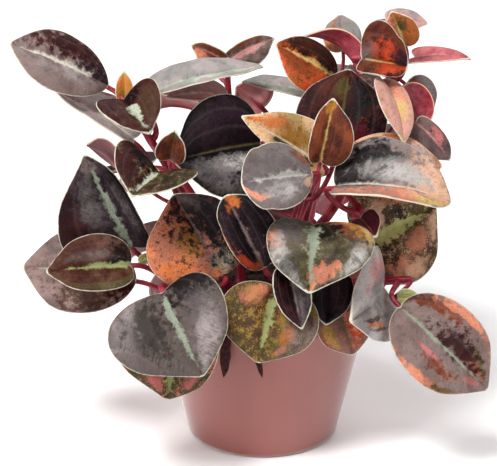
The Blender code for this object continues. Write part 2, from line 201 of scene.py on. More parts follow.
# kind: signal, start, stop, least share
MARK_THINNING = {"film": ("streak", 0.60, 0.38, 0.25), "pigment": ("speckle", 0.50, 0.64, 0.30)}
MARK_STRENGTH = 0.92
FLECK_LIMITS = (0.60, 0.72)
FLECK_STRENGTH = 0.70
# Strength of the painted grey satin sheen, a painted highlight laid over the whole blade.
PAINTED_SHEEN_STRENGTH = 0.85
SHADE_STRENGTH = 0.46
CLOUD_STRENGTH = 0.34
VEIN_STRENGTH = 0.04

# Midrib, which fades in and out about the start and the stop that its look gives, and
# the pale margin of a blade.
RIB_FADE_IN = (-0.05, 0.12)
RIB_FADE_OUT = (0.04, -0.60)
RIB_LEAST_WIDTH = 0.1
RIB_SOFTNESS = 0.60
RIB_THINNING = (0.46, 0.70, 0.45)
RIB_STRENGTH = 0.85
MARGIN_WIDTH = 0.27
MARGIN_SOFTNESS = 0.12
MARGIN_STRENGTH = 0.85

# How dark a blade is as a whole, and how shiny its skin and the stems' are.
LEAF_TONE = 0.80
LEAF_SPECULAR = 0.08
STEM_SPECULAR = 0.2

# The shader's constant values by short name, and the place given to what isn't a blade.
SHADER_SOCKETS = {"specular": "Specular IOR Level", "sheen": "Sheen Weight",
                  "sheen_roughness": "Sheen Roughness"}
OFF_BLADE = 9.0

# Undersides: the paler tone, the darker one and the clouds on each ground tone.
UNDER_SHADES = {
    "silver": ("silver", "taupe", "silver"),
    "crimson": ("pink", "wine", "crimson"),
    "wine": ("crimson", "maroon", "wine"),
    "pink": ("blush", "crimson", "rose"),
}
OTHER_UNDER_SHADES = ("blush", "wine", "taupe")
UNDER_CLOUD = 0.45
UNDER_FLUSH = 0.40

# Linear colours of the pot, the peat and the dead scraps, and the pot's satin sheen.
POT_PINK = (0.232, 0.060, 0.049, 1.0)
POT_PALE_PINK = (0.260, 0.072, 0.059, 1.0)
POT_SHEEN = 0.9
POT_SHEEN_ROUGHNESS = 0.4
PEAT_BLACK = (0.012, 0.008, 0.006, 1.0)
PEAT_BROWN = (0.055, 0.030, 0.017, 1.0)
PEAT_FIBRE = (0.14, 0.085, 0.05, 1.0)
DRY_DARK = (0.022, 0.007, 0.008, 1.0)
DRY_BROWN = (0.070, 0.024, 0.022, 1.0)

# Studio, in metres and watts: name, place, lamp size, power.
FLOOR_HALF_SIZE = 6.0
WHITE = (1.0, 1.0, 1.0, 1.0)
FLOOR_COLOUR = (0.93, 0.93, 0.93, 1.0)
WORLD_STRENGTH = 0.24
LAMPS = (
    ("lamp_key", (-0.35, -0.60, 1.15), 0.36, 20.0),
    ("lamp_left", (-0.95, -0.45, 0.45), 0.6, 6.0),
    ("lamp_right", (0.9, -0.6, 0.6), 0.6, 5.0),
    ("lamp_back", (0.3, 0.8, 0.9), 0.6, 6.0),
)

# Growing shoots: listed points from the soil, or from the shoot that it branches
# off, to the growing tip. A root shoot's first point has no height: it starts in a socket.
SHOOTS = {
    "a": ((-10, 4), (-16, 4, 60), (-30, 4, 90), (-42, 1, 112)),
    "b": ((-16, 4, 60), (-22, -4, 72), (-31, -12, 97)),
    "c": ((-15, -16, 53), (-25, -15, 57), (-37, -14, 66)),
    "d": ((-13, -13), (-17, -20, 56), (-23, -30, 62)),
    "e": ((3, -9), (5, -14, 57), (9, -20, 80), (14, -21, 97)),
    "f": ((5, -14, 57), (11, -2, 75), (20, 2, 97)),
    "g": ((15, -4), (21, -9, 58), (28, -14, 76), (32, -17, 87)),
    "h": ((18, -6, 52), (27, -11, 57), (37, -15, 60), (48, -20, 63)),
    "i": ((10, 9), (13, 14, 65), (27, 18, 120)),
    "j": ((12, 12, 60), (27, 10, 82), (43, 16, 122)),
    "k": ((-7, 13), (-9, 19, 70), (-12, 28, 120)),
    "m": ((-8, 16, 60), (-22, 28, 70), (-33, 35, 88)),
    "n": ((10, 19), (17, 32, 68), (22, 42, 90)),
}

# Plants in the pot: the root shoot first, then the shoots that branch off it.
PLANTS = {
    "stem_left": ("a", "b"),
    "stem_front": ("d", "c"),
    "stem_middle": ("e", "f"),
    "stem_right": ("g", "h"),
    "stem_top": ("i", "j"),
    "stem_back_left": ("k", "m"),
    "stem_back_right": ("n",),
}

LEAF_FIELDS = "name shoot height base tip faces width belly cup arch twist lean"
Leaf = namedtuple("Leaf", LEAF_FIELDS, defaults=(0.42, 0.12, 0.10, 0.0, 0.0))


def leaves(kind, rows):
    """Leaves from their rows, with names that start with their kind."""
    return [Leaf(kind + name, *rest) for name, *rest in rows]


# One row a leaf: the shoot it grows on and the height where its stalk leaves the shoot,
# the blade's base and tip points, the compass bearing and elevation its upper side faces
# (-90 is toward the plant's front), full width, where along it the blade is widest,
# cupping, arching, twist, and lean: how much wider the lobe on the left-hand side, base to
# tip and seen from above, is than the other one. The values that end a row are left out where they are the
# usual ones.
LEAVES = leaves("leaf_", (
    ("a1", "a", 108, (-51, 8, 120), (-82, 2, 136), (-90, 48), 22, .58, .1, .06, 10, .05),
    ("a2", "a", 90, (-43, 4, 103), (-68, 10, 117), (-90, 80), 19, .42, .1, .05, 0, -.35),
    ("a3", "a", 111, (-45, -6, 120), (-36, -20, 113), (-90, 52), 21, .32, .45, .05),
    ("a4", "a", 103, (-36, 4, 119), (0, 12, 125), (-90, 85), 20, .42, .25, .04),
    ("a5", "a", 80, (-49, 16, 90), (-60, 26, 93), (90, 20), 11),
    ("b1", "b", 94, (-33, -26, 103), (-41, -41, 100), (-90, 58), 28, .28, .45, 0),
    ("b2", "b", 72, (-43, -16, 73), (-57, -22, 107), (-90, 15), 27, .38, .12, .08, 0, .46),
    ("c1", "c", 58, (-42, -12, 59), (-79, -12, 64), (-90, 35), 28, .56, .1, .06),
    ("c2", "c", 64, (-43, -27, 71), (-69, -35, 72), (-90, 35), 19, .45, .2, .06, 0, -.1),
    ("d1", "d", 61, (-32, -38, 66), (-19, -55, 45), (-95, 20), 40, .41, .18, .1, 0, -.1),
    ("d2", "d", 54, (-27, -37, 52), (-31, -43, 31), (-95, 15), 35, .3, .1, .1, 0, -.2),
    ("d3", "d", 59, (-13, -25, 67), (-29, -16, 91), (-85, 20), 32, .5, .1, .08, 0, .18),
    ("e1", "e", 66, (0, -31, 72), (-12, -27, 95), (-90, 20), 17, .52, .1, .08, 0, -.2),
    ("e2", "e", 94, (15, -31, 104), (-7, -38, 103), (-90, 35), 22, .56, .2, .05),
    ("e3", "e", 78, (16, -30, 86), (14, -52, 72), (-90, 40), 34, .42, .12, .1, 0, .14),
    ("e4", "e", 63, (4, -36, 67), (-2, -45, 45), (-90, 15), 32, .45, .1),
    ("e5", "e", 74, (8, -38, 75), (12, -48, 58), (-95, 15), 12, .42, .6, .05),
    ("f1", "f", 88, (-1, -3, 104), (-29, -12, 101), (-90, 35), 36, .42, .08, .08),
    ("f2", "f", 92, (19, -10, 99), (-7, -14, 117), (-90, 30), 15, .36, .15, .08, 0, -.42),
    ("f3", "e", 95, (18, -23, 105), (22, -20, 125), (-90, 15), 14, .42, .25, .05, 0, -.3),
    ("f4", "f", 84, (24, -3, 102), (28, 7, 126), (-90, 30), 30, .42, .1),
    ("g1", "g", 85, (23, -25, 97), (59, -31, 94), (-90, 54), 23, .43, .3, .14, 0, .4),
    ("g2", "g", 86, (28, -13, 98), (58, -8, 98), (-90, 40), 22, .42, .1),
    ("g3", "g", 62, (33, -8, 70), (57, 0, 81), (-85, 20), 37, .42, .1),
    ("h1", "h", 59, (39, -24, 62), (27, -44, 59), (-45, 12), 32, .28, .1, .05),
    ("h2", "h", 62, (44, -33, 59), (72, -40, 33), (-95, 30), 28, .5, .1, .08),
    ("h3", "g", 60, (22, -28, 69), (20, -36, 54), (-90, 15), 15, .42, .2),
    ("h4", "h", 56, (23, -30, 61), (29, -35, 43), (-90, 20), 18, .5, .1),
    ("i1", "i", 112, (24, 15, 120), (4, 9, 134), (-90, 40), 18, .56, .2, .08, 0, .25),
    ("i2", "i", 115, (32, 17, 121), (13, 17, 134), (90, 50), 11, .42, .3, .28),
    ("i4", "i", 102, (19, 25, 110), (-7, 21, 117), (-90, 85), 16, .42, .1, .05),
    ("i5", "i", 96, (24, 30, 106), (30, 54, 112), (80, 50), 28),
    ("j1", "j", 121, (32, 6, 130), (47, 4, 128), (-90, 20), 18, .35, .2, .05, 0, .48),
    ("j2", "j", 120, (47, 17, 131), (42, 16, 143), (-90, 20), 12, .42, .2, .08),
    ("j4", "j", 118, (51, 26, 124), (69, 18, 126), (-90, 75), 11, .22, .1, .05),
    ("j5", "j", 112, (39, 8, 122), (45, -12, 107), (-60, 10), 13, .5, .2, .12, 0, -.25),
    ("j6", "j", 116, (45, 11, 118), (53, 8, 103), (70, 20), 14, .42, .2, .2),
    ("j7", "j", 98, (48, 22, 116), (57, 22, 106), (-90, 30), 14, .42, .1, .08),
    ("j8", "j", 96, (50, 3, 109), (61, -3, 98), (-80, 40), 13, .42, .1, .1, 0, -.4),
    ("j9", "j", 88, (44, 22, 94), (60, 36, 92), (40, 50), 24),
    ("k3", "k", 104, (-12, 16, 113), (-32, 10, 115), (-90, 80), 18, .42, .2, .08),
    ("k4", "k", 92, (-18, 34, 102), (-44, 46, 98), (120, 50), 28),
    ("k5", "k", 88, (0, 30, 105), (-9, 35, 111), (90, 0), 17),
    ("k6", "k", 104, (-14, 42, 112), (-24, 64, 106), (110, 50), 28),
    ("m1", "m", 82, (-40, 40, 80), (-60, 48, 70), (150, 50), 28),
    ("m2", "m", 74, (-32, 42, 74), (-44, 64, 60), (120, 45), 32),
    ("m3", "m", 66, (-32, 24, 60), (-58, 24, 44), (180, 45), 28),
    ("n1", "n", 84, (28, 42, 90), (52, 44, 84), (30, 50), 28),
    ("n2", "n", 66, (20, 46, 67), (22, 68, 51), (90, 40), 32),
    ("n3", "n", 60, (11, 29, 66), (-6, 33, 67), (90, 30), 20),
    ("n4", "n", 88, (24, 52, 98), (36, 72, 96), (70, 50), 28),
))

# Young leaves at the growing tips, one piece with their stem.
YOUNG_LEAVES = leaves("young_", (
    ("a1", "a", 111, (-45, 1, 117), (-45, 0, 128), (-90, 20), 6, .42, .3, .05),
    ("b1", "b", 96, (-30, -18, 104), (-28, -21, 115), (-90, 20), 10, .4, .3),
    ("c1", "c", 65, (-40, -20, 69), (-34, -23, 73), (-90, 40), 4, .42, .3, .05),
    ("g1", "g", 78, (31, -22, 85), (36, -28, 81), (-90, 40), 10, .42, .5),
    ("h1", "h", 63, (44, -24, 58), (51, -26, 59), (-90, 30), 6, .42, .3, .05),
    ("i1", "i", 110, (27, 28, 126), (26, 33, 137), (-90, 25), 13, .42, .15, .08),
    ("j1", "j", 121, (41, 27, 137), (55, 29, 135), (-90, 45), 8, .42, .15, .08),
    ("k1", "k", 119, (-13, 26, 123), (-24, 24, 129), (-90, 40), 9, .42, .2, .08, 0, .48),
    ("k2", "k", 119, (-11, 31, 122), (4, 35, 128), (-90, 50), 11, .38, .2, .08, 0, -.48),
))

# Display colours, 0 to 255, that the looks below name.
COLOURS = {
    "soot": (16, 10, 14),
    "plum": (42, 26, 34),
    "maroon": (58, 22, 24),
    "umber": (84, 42, 32),
    "rust": (134, 68, 40),
    "brown": (90, 62, 46),
    "olive": (92, 84, 50),
    "moss": (50, 46, 28),
    "charcoal": (62, 56, 50),
    "taupe": (126, 110, 106),
    "rosewood": (150, 122, 116),
    "lilac": (164, 151, 149),
    "slate": (106, 97, 97),
    "silver": (184, 179, 174),
    "sage": (152, 162, 142),
    "mint": (204, 212, 188),
    "lime": (176, 180, 112),
    "pistachio": (158, 168, 112),
    "gold": (178, 140, 66),
    "amber": (204, 140, 56),
    "orange": (216, 118, 58),
    "ember": (200, 70, 36),
    "salmon": (232, 144, 112),
    "peach": (238, 186, 152),
    "rose": (206, 116, 112),
    "blush": (214, 150, 146),
    "pink": (208, 104, 116),
    "crimson": (142, 36, 50),
    "wine": (98, 28, 42),
    "cream": (236, 218, 186),
    "margin": (220, 215, 194),
    "ivory": (226, 220, 204),
    "straw": (222, 186, 116),
}
DISPLAY_GAMMA = 2.2

# One look a leaf. ground and other: the blade's two main colours. The sheen amount: how much
# grey satin sheen is painted over them as a painted highlight. rib: midrib colour, half width, and where
# along it it shows.
# marks: blotches, each a colour with its place and size, all four along the blade (0 base
# to 1 tip) and across it (-1 to 1). flecks: a colour and how much of the blade it dots.
# under: the underside's colour.
LOOK_FIELDS = "ground other haze rib marks flecks under"
Look = namedtuple("Look", LOOK_FIELDS, defaults=((), None, "rose"))
LEAF_LOOKS = {
    "a1": Look("rosewood", "taupe", .12, ("ivory", 1, .2, 1), (
        ("maroon", .4, -.66, .44, .44), ("umber", .62, -.6, .3, .34), ("plum", .08, -.3, .24, .6),
        ("lilac", .5, .3, .42, .3))),
    "a2": Look("silver", "lilac", .3, ("cream", .6, 0, .9), (
        ("crimson", .5, -.97, .4, .2), ("taupe", .5, .75, .5, .18)), under="silver"),
    "a3": Look("umber", "maroon", .06, ("mint", 1.7, .25, .95), (
        ("brown", .6, .55, .3, .35), ("maroon", .22, -.65, .36, .4), ("soot", .08, .2, .14, .4)),
        ("olive", .06)),
    "a4": Look("silver", "lilac", .3, ("mint", .5, 0, 1), (
        ("mint", .55, -.55, .6, .25),), under="crimson"),
    "a5": Look("maroon", "plum", .25, ("sage", 1.2, .1, .9), under="wine"),
    "b1": Look("umber", "olive", .05, ("mint", 1.4, .12, .97), (
        ("maroon", .4, -.6, .6, .5), ("soot", .1, -.45, .2, .3), ("moss", .45, .6, .3, .3)), ("ivory", .03)),
    "b2": Look("soot", "plum", .1, ("sage", 1.4, 0, .97), (
        ("slate", .66, .36, .34, .22), ("maroon", .3, .75, .35, .35), ("slate", .5, -.5, .2, .16),
        ("taupe", .93, .1, .1, .5))),
    "c1": Look("taupe", "rosewood", .2, ("sage", .7, .35, 1), (
        ("brown", .38, .55, .3, .4), ("maroon", .1, .4, .18, .5))),
    "c2": Look("umber", "brown", .1, ("pistachio", 1.1, 0, .85), (
        ("taupe", .5, -.38, .26, .16), ("soot", .12, -.45, .2, .45), ("olive", .4, .8, .4, .12))),
    "d1": Look("taupe", "charcoal", .26, ("sage", 1.3, .05, .97), (
        ("charcoal", .38, -.45, .3, .3), ("soot", .06, .62, .28, .56), ("slate", .52, .5, .24, .26),
        ("lilac", .72, .55, .28, .35), ("lilac", .3, -.8, .25, .2), ("rust", .66, -.35, .03, .04))),
    "d2": Look("olive", "moss", .05, ("pistachio", 2.2, 0, 1), (
        ("salmon", .45, -.7, .12, .16), ("rose", .7, -.4, .16, .18), ("salmon", .35, .75, .12, .2),
        ("rose", .62, .55, .14, .15)), ("salmon", .1)),
    "d3": Look("salmon", "orange", .04, ("taupe", .6, .35, 1), (
        ("olive", .46, -.4, .16, .36), ("blush", .36, .05, .18, .28), ("sage", .12, -.3, .18, .45),
        ("moss", .26, -.8, .16, .24), ("amber", .5, .2, .2, .25), ("umber", .95, .25, .2, .4),
        ("plum", .8, -.6, .6, 1), ("soot", .66, -.5, .3, .5), ("slate", .94, -.4, .16, .24)), ("umber", .1)),
    "e1": Look("soot", "plum", .03, ("taupe", .6, .05, .95), (
        ("ember", .2, .72, .2, .22), ("orange", .95, -.15, .12, .4), ("rust", .5, .95, .26, .1),
        ("rust", .06, .2, .08, .4)), ("rose", .01)),
    # e2's broad silver midrib is partly its pale midrib and partly a painted highlight along it.
    "e2": Look("taupe", "slate", .22, ("silver", 1.3, .1, .95), (
        ("salmon", .9, .6, .16, .14), ("peach", .12, .6, .1, .2), ("rust", .16, -.75, .12, .16),
        ("silver", .45, .45, .3, .25), ("slate", .6, -.4, .3, .3))),
    "e3": Look("charcoal", "olive", .14, ("sage", 1.9, .02, 1), (
        ("slate", .28, -.55, .26, .35), ("salmon", .82, .36, .14, .34), ("salmon", .44, -.8, .13, .18),
        ("rust", .12, .66, .22, .22), ("amber", .16, .86, .24, .14), ("straw", .3, .95, .12, .1),
        ("silver", .68, -.72, .28, .24), ("silver", .6, .82, .22, .14), ("soot", .16, .3, .16, .3)),
        ("taupe", .06)),
    "e4": Look("olive", "brown", .02, ("pistachio", 1.3, .1, 1), (
        ("umber", .2, .2, .26, .6), ("salmon", .18, -.55, .12, .25), ("taupe", .55, .7, .3, .3),
        ("orange", .6, .45, .1, .14), ("salmon", .78, .55, .08, .1), ("gold", .35, .3, .14, .1)),
        ("gold", .12)),
    "e5": Look("soot", "maroon", .04, ("lilac", .5, .1, 1), (
        ("slate", .5, .5, .6, .42),)),
    "f1": Look("soot", "soot", 0, ("olive", .4, 0, .85), (
        ("plum", .4, -.5, .4, .4), ("silver", .36, .34, .34, .18), ("silver", .14, .62, .16, .22),
        ("slate", .66, .5, .26, .3), ("charcoal", .4, .85, .3, .14))),
    "f2": Look("straw", "peach", 0, ("cream", .5, 0, 1), (
        ("orange", .72, -.5, .2, .3), ("moss", .55, .2, .08, .26), ("moss", .3, .45, .12, .3),
        ("amber", .45, -.3, .16, .3)), ("brown", .1), under="peach"),
    "f3": Look("umber", "rust", 0, ("straw", .45, 0, 1), (
        ("amber", .93, 0, .14, .6), ("rust", .45, .5, .2, .2)), ("brown", .06)),
    "f4": Look("soot", "maroon", .03, ("olive", .5, .05, 1), (
        ("umber", .7, .35, .3, .4), ("ember", .2, .78, .12, .18), ("wine", .16, -.45, .18, .35),
        ("olive", .8, .1, .16, .2)), ("ember", .03)),
    "g1": Look("lilac", "taupe", .1, ("ivory", .4, 0, .9), (
        ("soot", .12, .38, .3, .58), ("soot", .34, .68, .2, .26), ("silver", .54, .34, .28, .22),
        ("salmon", .6, -.5, .5, .45), ("peach", .86, .25, .2, .8), ("straw", .84, -.6, .14, .3))),
    "g2": Look("orange", "peach", .05, ("cream", .4, 0, 1), (
        ("wine", .15, .2, .2, .5), ("ember", .35, .1, .15, .4), ("lilac", .65, .55, .3, .25))),
    # g3's tones are lighter than the leaf's own, as painted light against the shade that leaf g1 casts on it.
    "g3": Look("olive", "brown", .02, ("lime", 2.2, .05, 1), (
        ("salmon", .3, -.6, .13, .18), ("salmon", .6, -.4, .14, .17), ("peach", .46, -.8, .12, .14),
        ("peach", .35, .4, .13, .22), ("salmon", .64, .6, .15, .2), ("moss", .5, .25, .12, .2),
        ("peach", .84, -.5, .11, .24), ("moss", .22, -.3, .12, .3)), ("peach", .1)),
    "h1": Look("lilac", "silver", .35, ("silver", .5, .1, 1), (
        ("orange", .62, .5, .14, .07), ("brown", .66, .36, .18, .06), ("brown", .58, .64, .14, .05),
        ("blush", .3, -.6, .3, .2))),
    "h2": Look("rosewood", "taupe", .12, ("sage", .7, 0, .95), (
        ("umber", .2, .8, .34, .24), ("rust", .26, .66, .2, .1), ("salmon", .5, .9, .26, .12),
        ("maroon", .58, .26, .22, .26), ("rust", .76, .3, .14, .24), ("rose", .42, -.34, .1, .06),
        ("rust", .58, -.46, .16, .12), ("salmon", .55, -.92, .24, .12), ("rose", .86, -.25, .07, .14),
        ("olive", .74, .45, .14, .12), ("olive", .72, -.88, .08, .08)), ("rust", .04)),
    "h3": Look("soot", "plum", .04, ("plum", .4, 0, 1)),
    "h4": Look("rosewood", "rust", .05, ("olive", .6, 0, 1), (
        ("ember", .55, .4, .2, .25), ("gold", .6, -.6, .2, .2)), ("salmon", .1)),
    "i1": Look("orange", "ember", 0, ("straw", .9, 0, 1), (
        ("rust", .72, .3, .3, .4), ("soot", .44, -.56, .6, .56), ("maroon", .12, -.1, .14, .4)),
        ("umber", .1)),
    "i2": Look("umber", "maroon", .1, ("sage", .6, 0, 1), under="crimson"),
    "i4": Look("silver", "lilac", .3, ("ivory", .5, 0, 1), (
        ("sage", .5, .6, .5, .2),)),
    "i5": Look("umber", "taupe", .2, ("sage", 1.1, .05, .95), (
        ("orange", .6, .5, .2, .2),), ("salmon", .06)),
    "j1": Look("rust", "maroon", 0, ("straw", .4, .1, .8), (
        ("ember", .52, .34, .32, .28), ("ember", .62, -.42, .24, .3), ("plum", .82, .3, .18, .3),
        ("slate", .12, .2, .2, .4)), ("maroon", .1)),
    "j2": Look("orange", "rust", .05, ("lime", .5, 0, 1), (
        ("blush", .5, .55, .4, .3), ("olive", .6, -.3, .2, .3))),
    "j4": Look("pink", "rose", .1, ("blush", .5, 0, 1), under="pink"),
    "j5": Look("peach", "blush", .05, ("straw", .5, .3, 1), (
        ("rose", .1, .1, .16, .5), ("salmon", .34, .4, .18, .3), ("straw", .56, .2, .14, .3)), under="peach"),
    "j6": Look("wine", "maroon", .05, ("rose", .5, 0, 1), under="crimson"),
    "j7": Look("taupe", "slate", .25, ("blush", .4, 0, 1), (
        ("rust", .15, .3, .2, .3), ("pink", .95, 0, .14, .8)), under="pink"),
    "j8": Look("rosewood", "plum", .25, ("blush", .4, 0, 1), (
        ("rose", .5, .3, .2, .3),)),
    "j9": Look("taupe", "umber", .25, ("sage", .9, .05, .95), flecks=("salmon", .07)),
    "k3": Look("blush", "rosewood", .3, ("cream", .5, 0, 1), (
        ("orange", .35, .3, .2, .3),)),
    "k4": Look("umber", "plum", .2, ("sage", 1.3, .05, .95), (
        ("salmon", .5, -.6, .2, .2),)),
    "k5": Look("charcoal", "olive", .2, ("pistachio", 1.6, .05, .97), (
        ("orange", .65, .5, .18, .22),), ("salmon", .08)),
    "k6": Look("maroon", "umber", .22, ("mint", 1.1, .05, .95)),
    "m1": Look("plum", "maroon", .25, ("sage", 1.2, .05, .95)),
    "m2": Look("charcoal", "taupe", .25, ("mint", 1.4, .05, .95), (
        ("salmon", .4, .6, .15, .2),), ("salmon", .05)),
    "m3": Look("rosewood", "umber", .25, ("sage", 1.1, .05, .95)),
    "n1": Look("taupe", "charcoal", .25, ("sage", 1.2, .05, .95), (
        ("orange", .55, -.5, .2, .2),), ("salmon", .08)),
    "n2": Look("olive", "moss", .1, ("pistachio", 2, .05, .97), (
        ("salmon", .4, -.5, .14, .18), ("peach", .65, .4, .12, .18)), ("peach", .1), under="crimson"),
    "n3": Look("umber", "maroon", .2, ("sage", 1.3, .05, .95), under="wine"),
    "n4": Look("maroon", "plum", .22, ("sage", 1.1, .05, .95), (
        ("ember", .3, .5, .12, .2),)),
}
YOUNG_LOOKS = {
    "a1": Look("amber", "orange", 0, ("lime", .35, 0, 1), (
        ("pistachio", .95, 0, .14, .8), ("gold", .35, -.6, .4, .3)), under="amber"),
    "b1": Look("umber", "rust", 0, ("olive", .4, 0, 1), (
        ("olive", .95, 0, .14, .8),), under="rust"),
    "c1": Look("olive", "lime", 0, ("lime", .3, 0, 1), under="pistachio"),
    "g1": Look("wine", "maroon", .05, ("rose", .3, 0, 1), (
        ("taupe", .7, -.5, .3, .3),)),
    "h1": Look("lime", "pistachio", 0, ("straw", .3, 0, 1), under="lime"),
    "i1": Look("silver", "taupe", .2, ("blush", .35, 0, 1), (
        ("orange", .4, .6, .35, .35),)),
    "j1": Look("silver", "blush", .3, ("silver", .3, 0, 1)),
    "k1": Look("rust", "brown", 0, ("blush", .35, 0, 1), (
        ("salmon", .75, .5, .25, .4),), under="salmon"),
    "k2": Look("brown", "taupe", .08, ("blush", .35, 0, 1), (
        ("blush", .45, -.2, .4, .2), ("rust", .5, .6, .3, .25))),
}
LOOKS = {"leaf_" + name: look for name, look in LEAF_LOOKS.items()}
LOOKS.update({"young_" + name: look for name, look in YOUNG_LOOKS.items()})


def linear(tone):
    """A display colour from the table as a linear colour."""
    return tuple((channel / 255) ** DISPLAY_GAMMA for channel in COLOURS[tone]) + (1.0,)


class Signal:
    """A shader value. Arithmetic on it adds math nodes to its graph."""

    def __init__(self, graph, socket):
        self.graph = graph
        self.socket = socket

    def __add__(self, other):
        return self.graph.math("ADD", self, other)

    def __sub__(self, other):
        return self.graph.math("SUBTRACT", self, other)

    def __rsub__(self, other):
        return self.graph.math("SUBTRACT", other, self)

    def __mul__(self, other):
        return self.graph.math("MULTIPLY", self, other)

    def __truediv__(self, other):
        return self.graph.math("DIVIDE", self, other)

    def __abs__(self):
        return self.graph.math("ABSOLUTE", self)

    __radd__ = __add__
    __rmul__ = __mul__

    def ramp(self, start, stop):
        """Smooth 0 to 1 as the value runs from start to stop."""
        inputs = {"Value": self, "From Min": start, "From Max": stop}
        return self.graph.signal("ShaderNodeMapRange", inputs, interpolation_type="SMOOTHSTEP")


class Graph:
    """Short calls that add nodes to a tree and link them."""

    def __init__(self, tree):
        self.tree = tree

    def feed(self, socket, value):
        """Links a signal to the socket, or sets a value or a named colour on it."""
        if isinstance(value, Signal):
            self.tree.links.new(value.socket, socket)
        else:
            socket.default_value = linear(value) if isinstance(value, str) else value

    def node(self, kind, inputs, **settings):
        item = self.tree.nodes.new(kind)
        for name, value in settings.items():
            setattr(item, name, value)
        for key, value in inputs.items():
            self.feed(item.inputs[key], value)
        return item

    def signal(self, kind, inputs, output=0, **settings):
        """One output of a new node."""
        return Signal(self, self.node(kind, inputs, **settings).outputs[output])

    def signals(self, sockets):
        """Signals named after their sockets."""
        return SimpleNamespace(**{socket.name: Signal(self, socket) for socket in sockets if socket.name})

    def math(self, operation, first, second=0.0):
        return self.signal("ShaderNodeMath", {0: first, 1: second}, operation=operation)

    def mix(self, factor, first, second, blend="MIX"):
        """Colour from first to second."""
        inputs = {0: factor, 6: first, 7: second}
        return self.signal("ShaderNodeMix", inputs, 2, data_type="RGBA", blend_type=blend)

    def layers(self, colour, *layers):
        """The colour with each (share, tone) laid over it in turn."""
        for share, tone in layers:
            colour = self.mix(share, colour, tone)
        return colour

    def noise(self, vector, scale, detail=2.0, roughness=0.5):
        inputs = {"Vector": vector, "Scale": scale, "Detail": detail, "Roughness": roughness}
        return self.signal("ShaderNodeTexNoise", inputs)

    def attribute(self, name):
        return self.signal("ShaderNodeAttribute", {}, "Vector", attribute_name=name)

    def object_point(self):
        """The place on a piece, in metres, so that noise over it is scaled in cells a metre."""
        return self.signal("ShaderNodeTexCoord", {}, "Object")

    def split(self, vector):
        node = self.node("ShaderNodeSeparateXYZ", {0: vector})
        return [Signal(self, output) for output in node.outputs]

    def join(self, x, y, z):
        return self.signal("ShaderNodeCombineXYZ", {0: x, 1: y, 2: z})

    def group(self, tree, **inputs):
        """Signals that a node group gives for these inputs."""
        return self.signals(self.node("ShaderNodeGroup", inputs, node_tree=tree).outputs)


def open_group(name, labels=""):
    """The graph of an empty node group, and signals from the inputs that labels names."""
    tree = bpy.data.node_groups.new(name, "ShaderNodeTree")
    for label in labels.split():
        tree.interface.new_socket(label, in_out="INPUT", socket_type="NodeSocketFloat")
    g = Graph(tree)
    return g, g.signals(g.node("NodeGroupInput", {}).outputs)


def close_group(g, **outputs):
    """Ends a node group with these outputs."""
    for label in outputs:
        g.tree.interface.new_socket(label, in_out="OUTPUT", socket_type="NodeSocketFloat")
    g.node("NodeGroupOutput", outputs)
    return g.tree


def leaf_signals():
    """Node group with what every leaf's pattern is made from, on the blade's own coordinates."""
    g, _ = open_group("leaf signals")
    along, across, rim = g.split(g.attribute("leaf_place"))
    flat = g.attribute("leaf_mm")
    x, y, seed = g.split(flat)
    middle = abs(y)
    patchy = g.noise(flat, scale=0.42, detail=4.0, roughness=0.62)
    stray = (patchy - 0.5) * STROKE_STRAY
    stroke_x = (x - middle * STROKE_SLANT + stray) * STROKE_SQUEEZE
    strokes = g.join(stroke_x, (middle + stray) * STROKE_STRETCH, seed)
    broad = g.noise(flat, scale=0.11)
    fine = g.noise(flat, scale=2.6, detail=3.0, roughness=0.6)
    brush = g.noise(strokes, scale=0.9, detail=4.0, roughness=0.65)
    share = abs(across)
    lines = [1.0 - abs(share - vein).ramp(0.0, VEIN_SPREAD) for vein in VEINS]
    return close_group(
        g, along=along, across=across, rim=rim, middle=middle, broad=broad, patchy=patchy,
        fine=fine, brush=brush, veins=g.math("MAXIMUM", *lines),
        speckle=patchy * 0.55 + fine * 0.45,
        streak=brush * 0.34 + patchy * 0.30 + broad * 0.36,
        shade=fine * 0.45 + brush * 0.15 + patchy * 0.40)


def rag(s, **amounts):
    """Raggedness about zero, with an amount of each named signal."""
    return sum((getattr(s, name) - 0.5) * amount for name, amount in amounts.items())


def blotch():
    """Node group: 1 inside a ragged ellipse on the blade, 0 outside."""
    g, s = open_group("blotch", "along across patchy brush fine at over length width softness")
    reach_along = (s.along - s.at) / s.length
    reach_across = (s.across - s.over) / s.width
    distance = g.math("SQRT", reach_along * reach_along + reach_across * reach_across)
    distance = distance + rag(s, patchy=3.4, brush=0.8, fine=0.7)
    return close_group(g, mask=distance.ramp(1.0 + s.softness, 1.0 - s.softness))


def thinned(mask, signal, start, stop, least):
    """The mask, thinned out to the least share as the signal runs from start to stop."""
    return mask * (1.0 - signal.ramp(start, stop) * (1.0 - least))


def new_material(name):
    mat = bpy.data.materials.new(name)
    mat.use_nodes = True
    return mat, Graph(mat.node_tree)


def surfaced(mat, g, colour, roughness, relief=None, depth=0.0, strength=0.0, **constants):
    """The material with this colour, roughness, bump and the shader's constant values."""
    inputs = g.tree.nodes["Principled BSDF"].inputs
    g.feed(inputs["Base Color"], colour)
    g.feed(inputs["Roughness"], roughness)
    if relief:
        bump = {"Height": relief, "Distance": depth * MM, "Strength": strength}
        g.feed(inputs["Normal"], g.signal("ShaderNodeBump", bump))
    for name, value in constants.items():
        inputs[SHADER_SOCKETS[name]].default_value = value
    return mat


def leaf_ground(g, s, look):
    """The two main colours, clouded into each other, with a few warm specks."""
    mottle = s.broad * 0.55 + s.speckle * 0.45
    colour = g.mix(mottle.ramp(0.37, 0.63), look.ground, look.other)
    return g.mix(s.speckle.ramp(0.52, 0.66) * 0.14, colour, "umber")


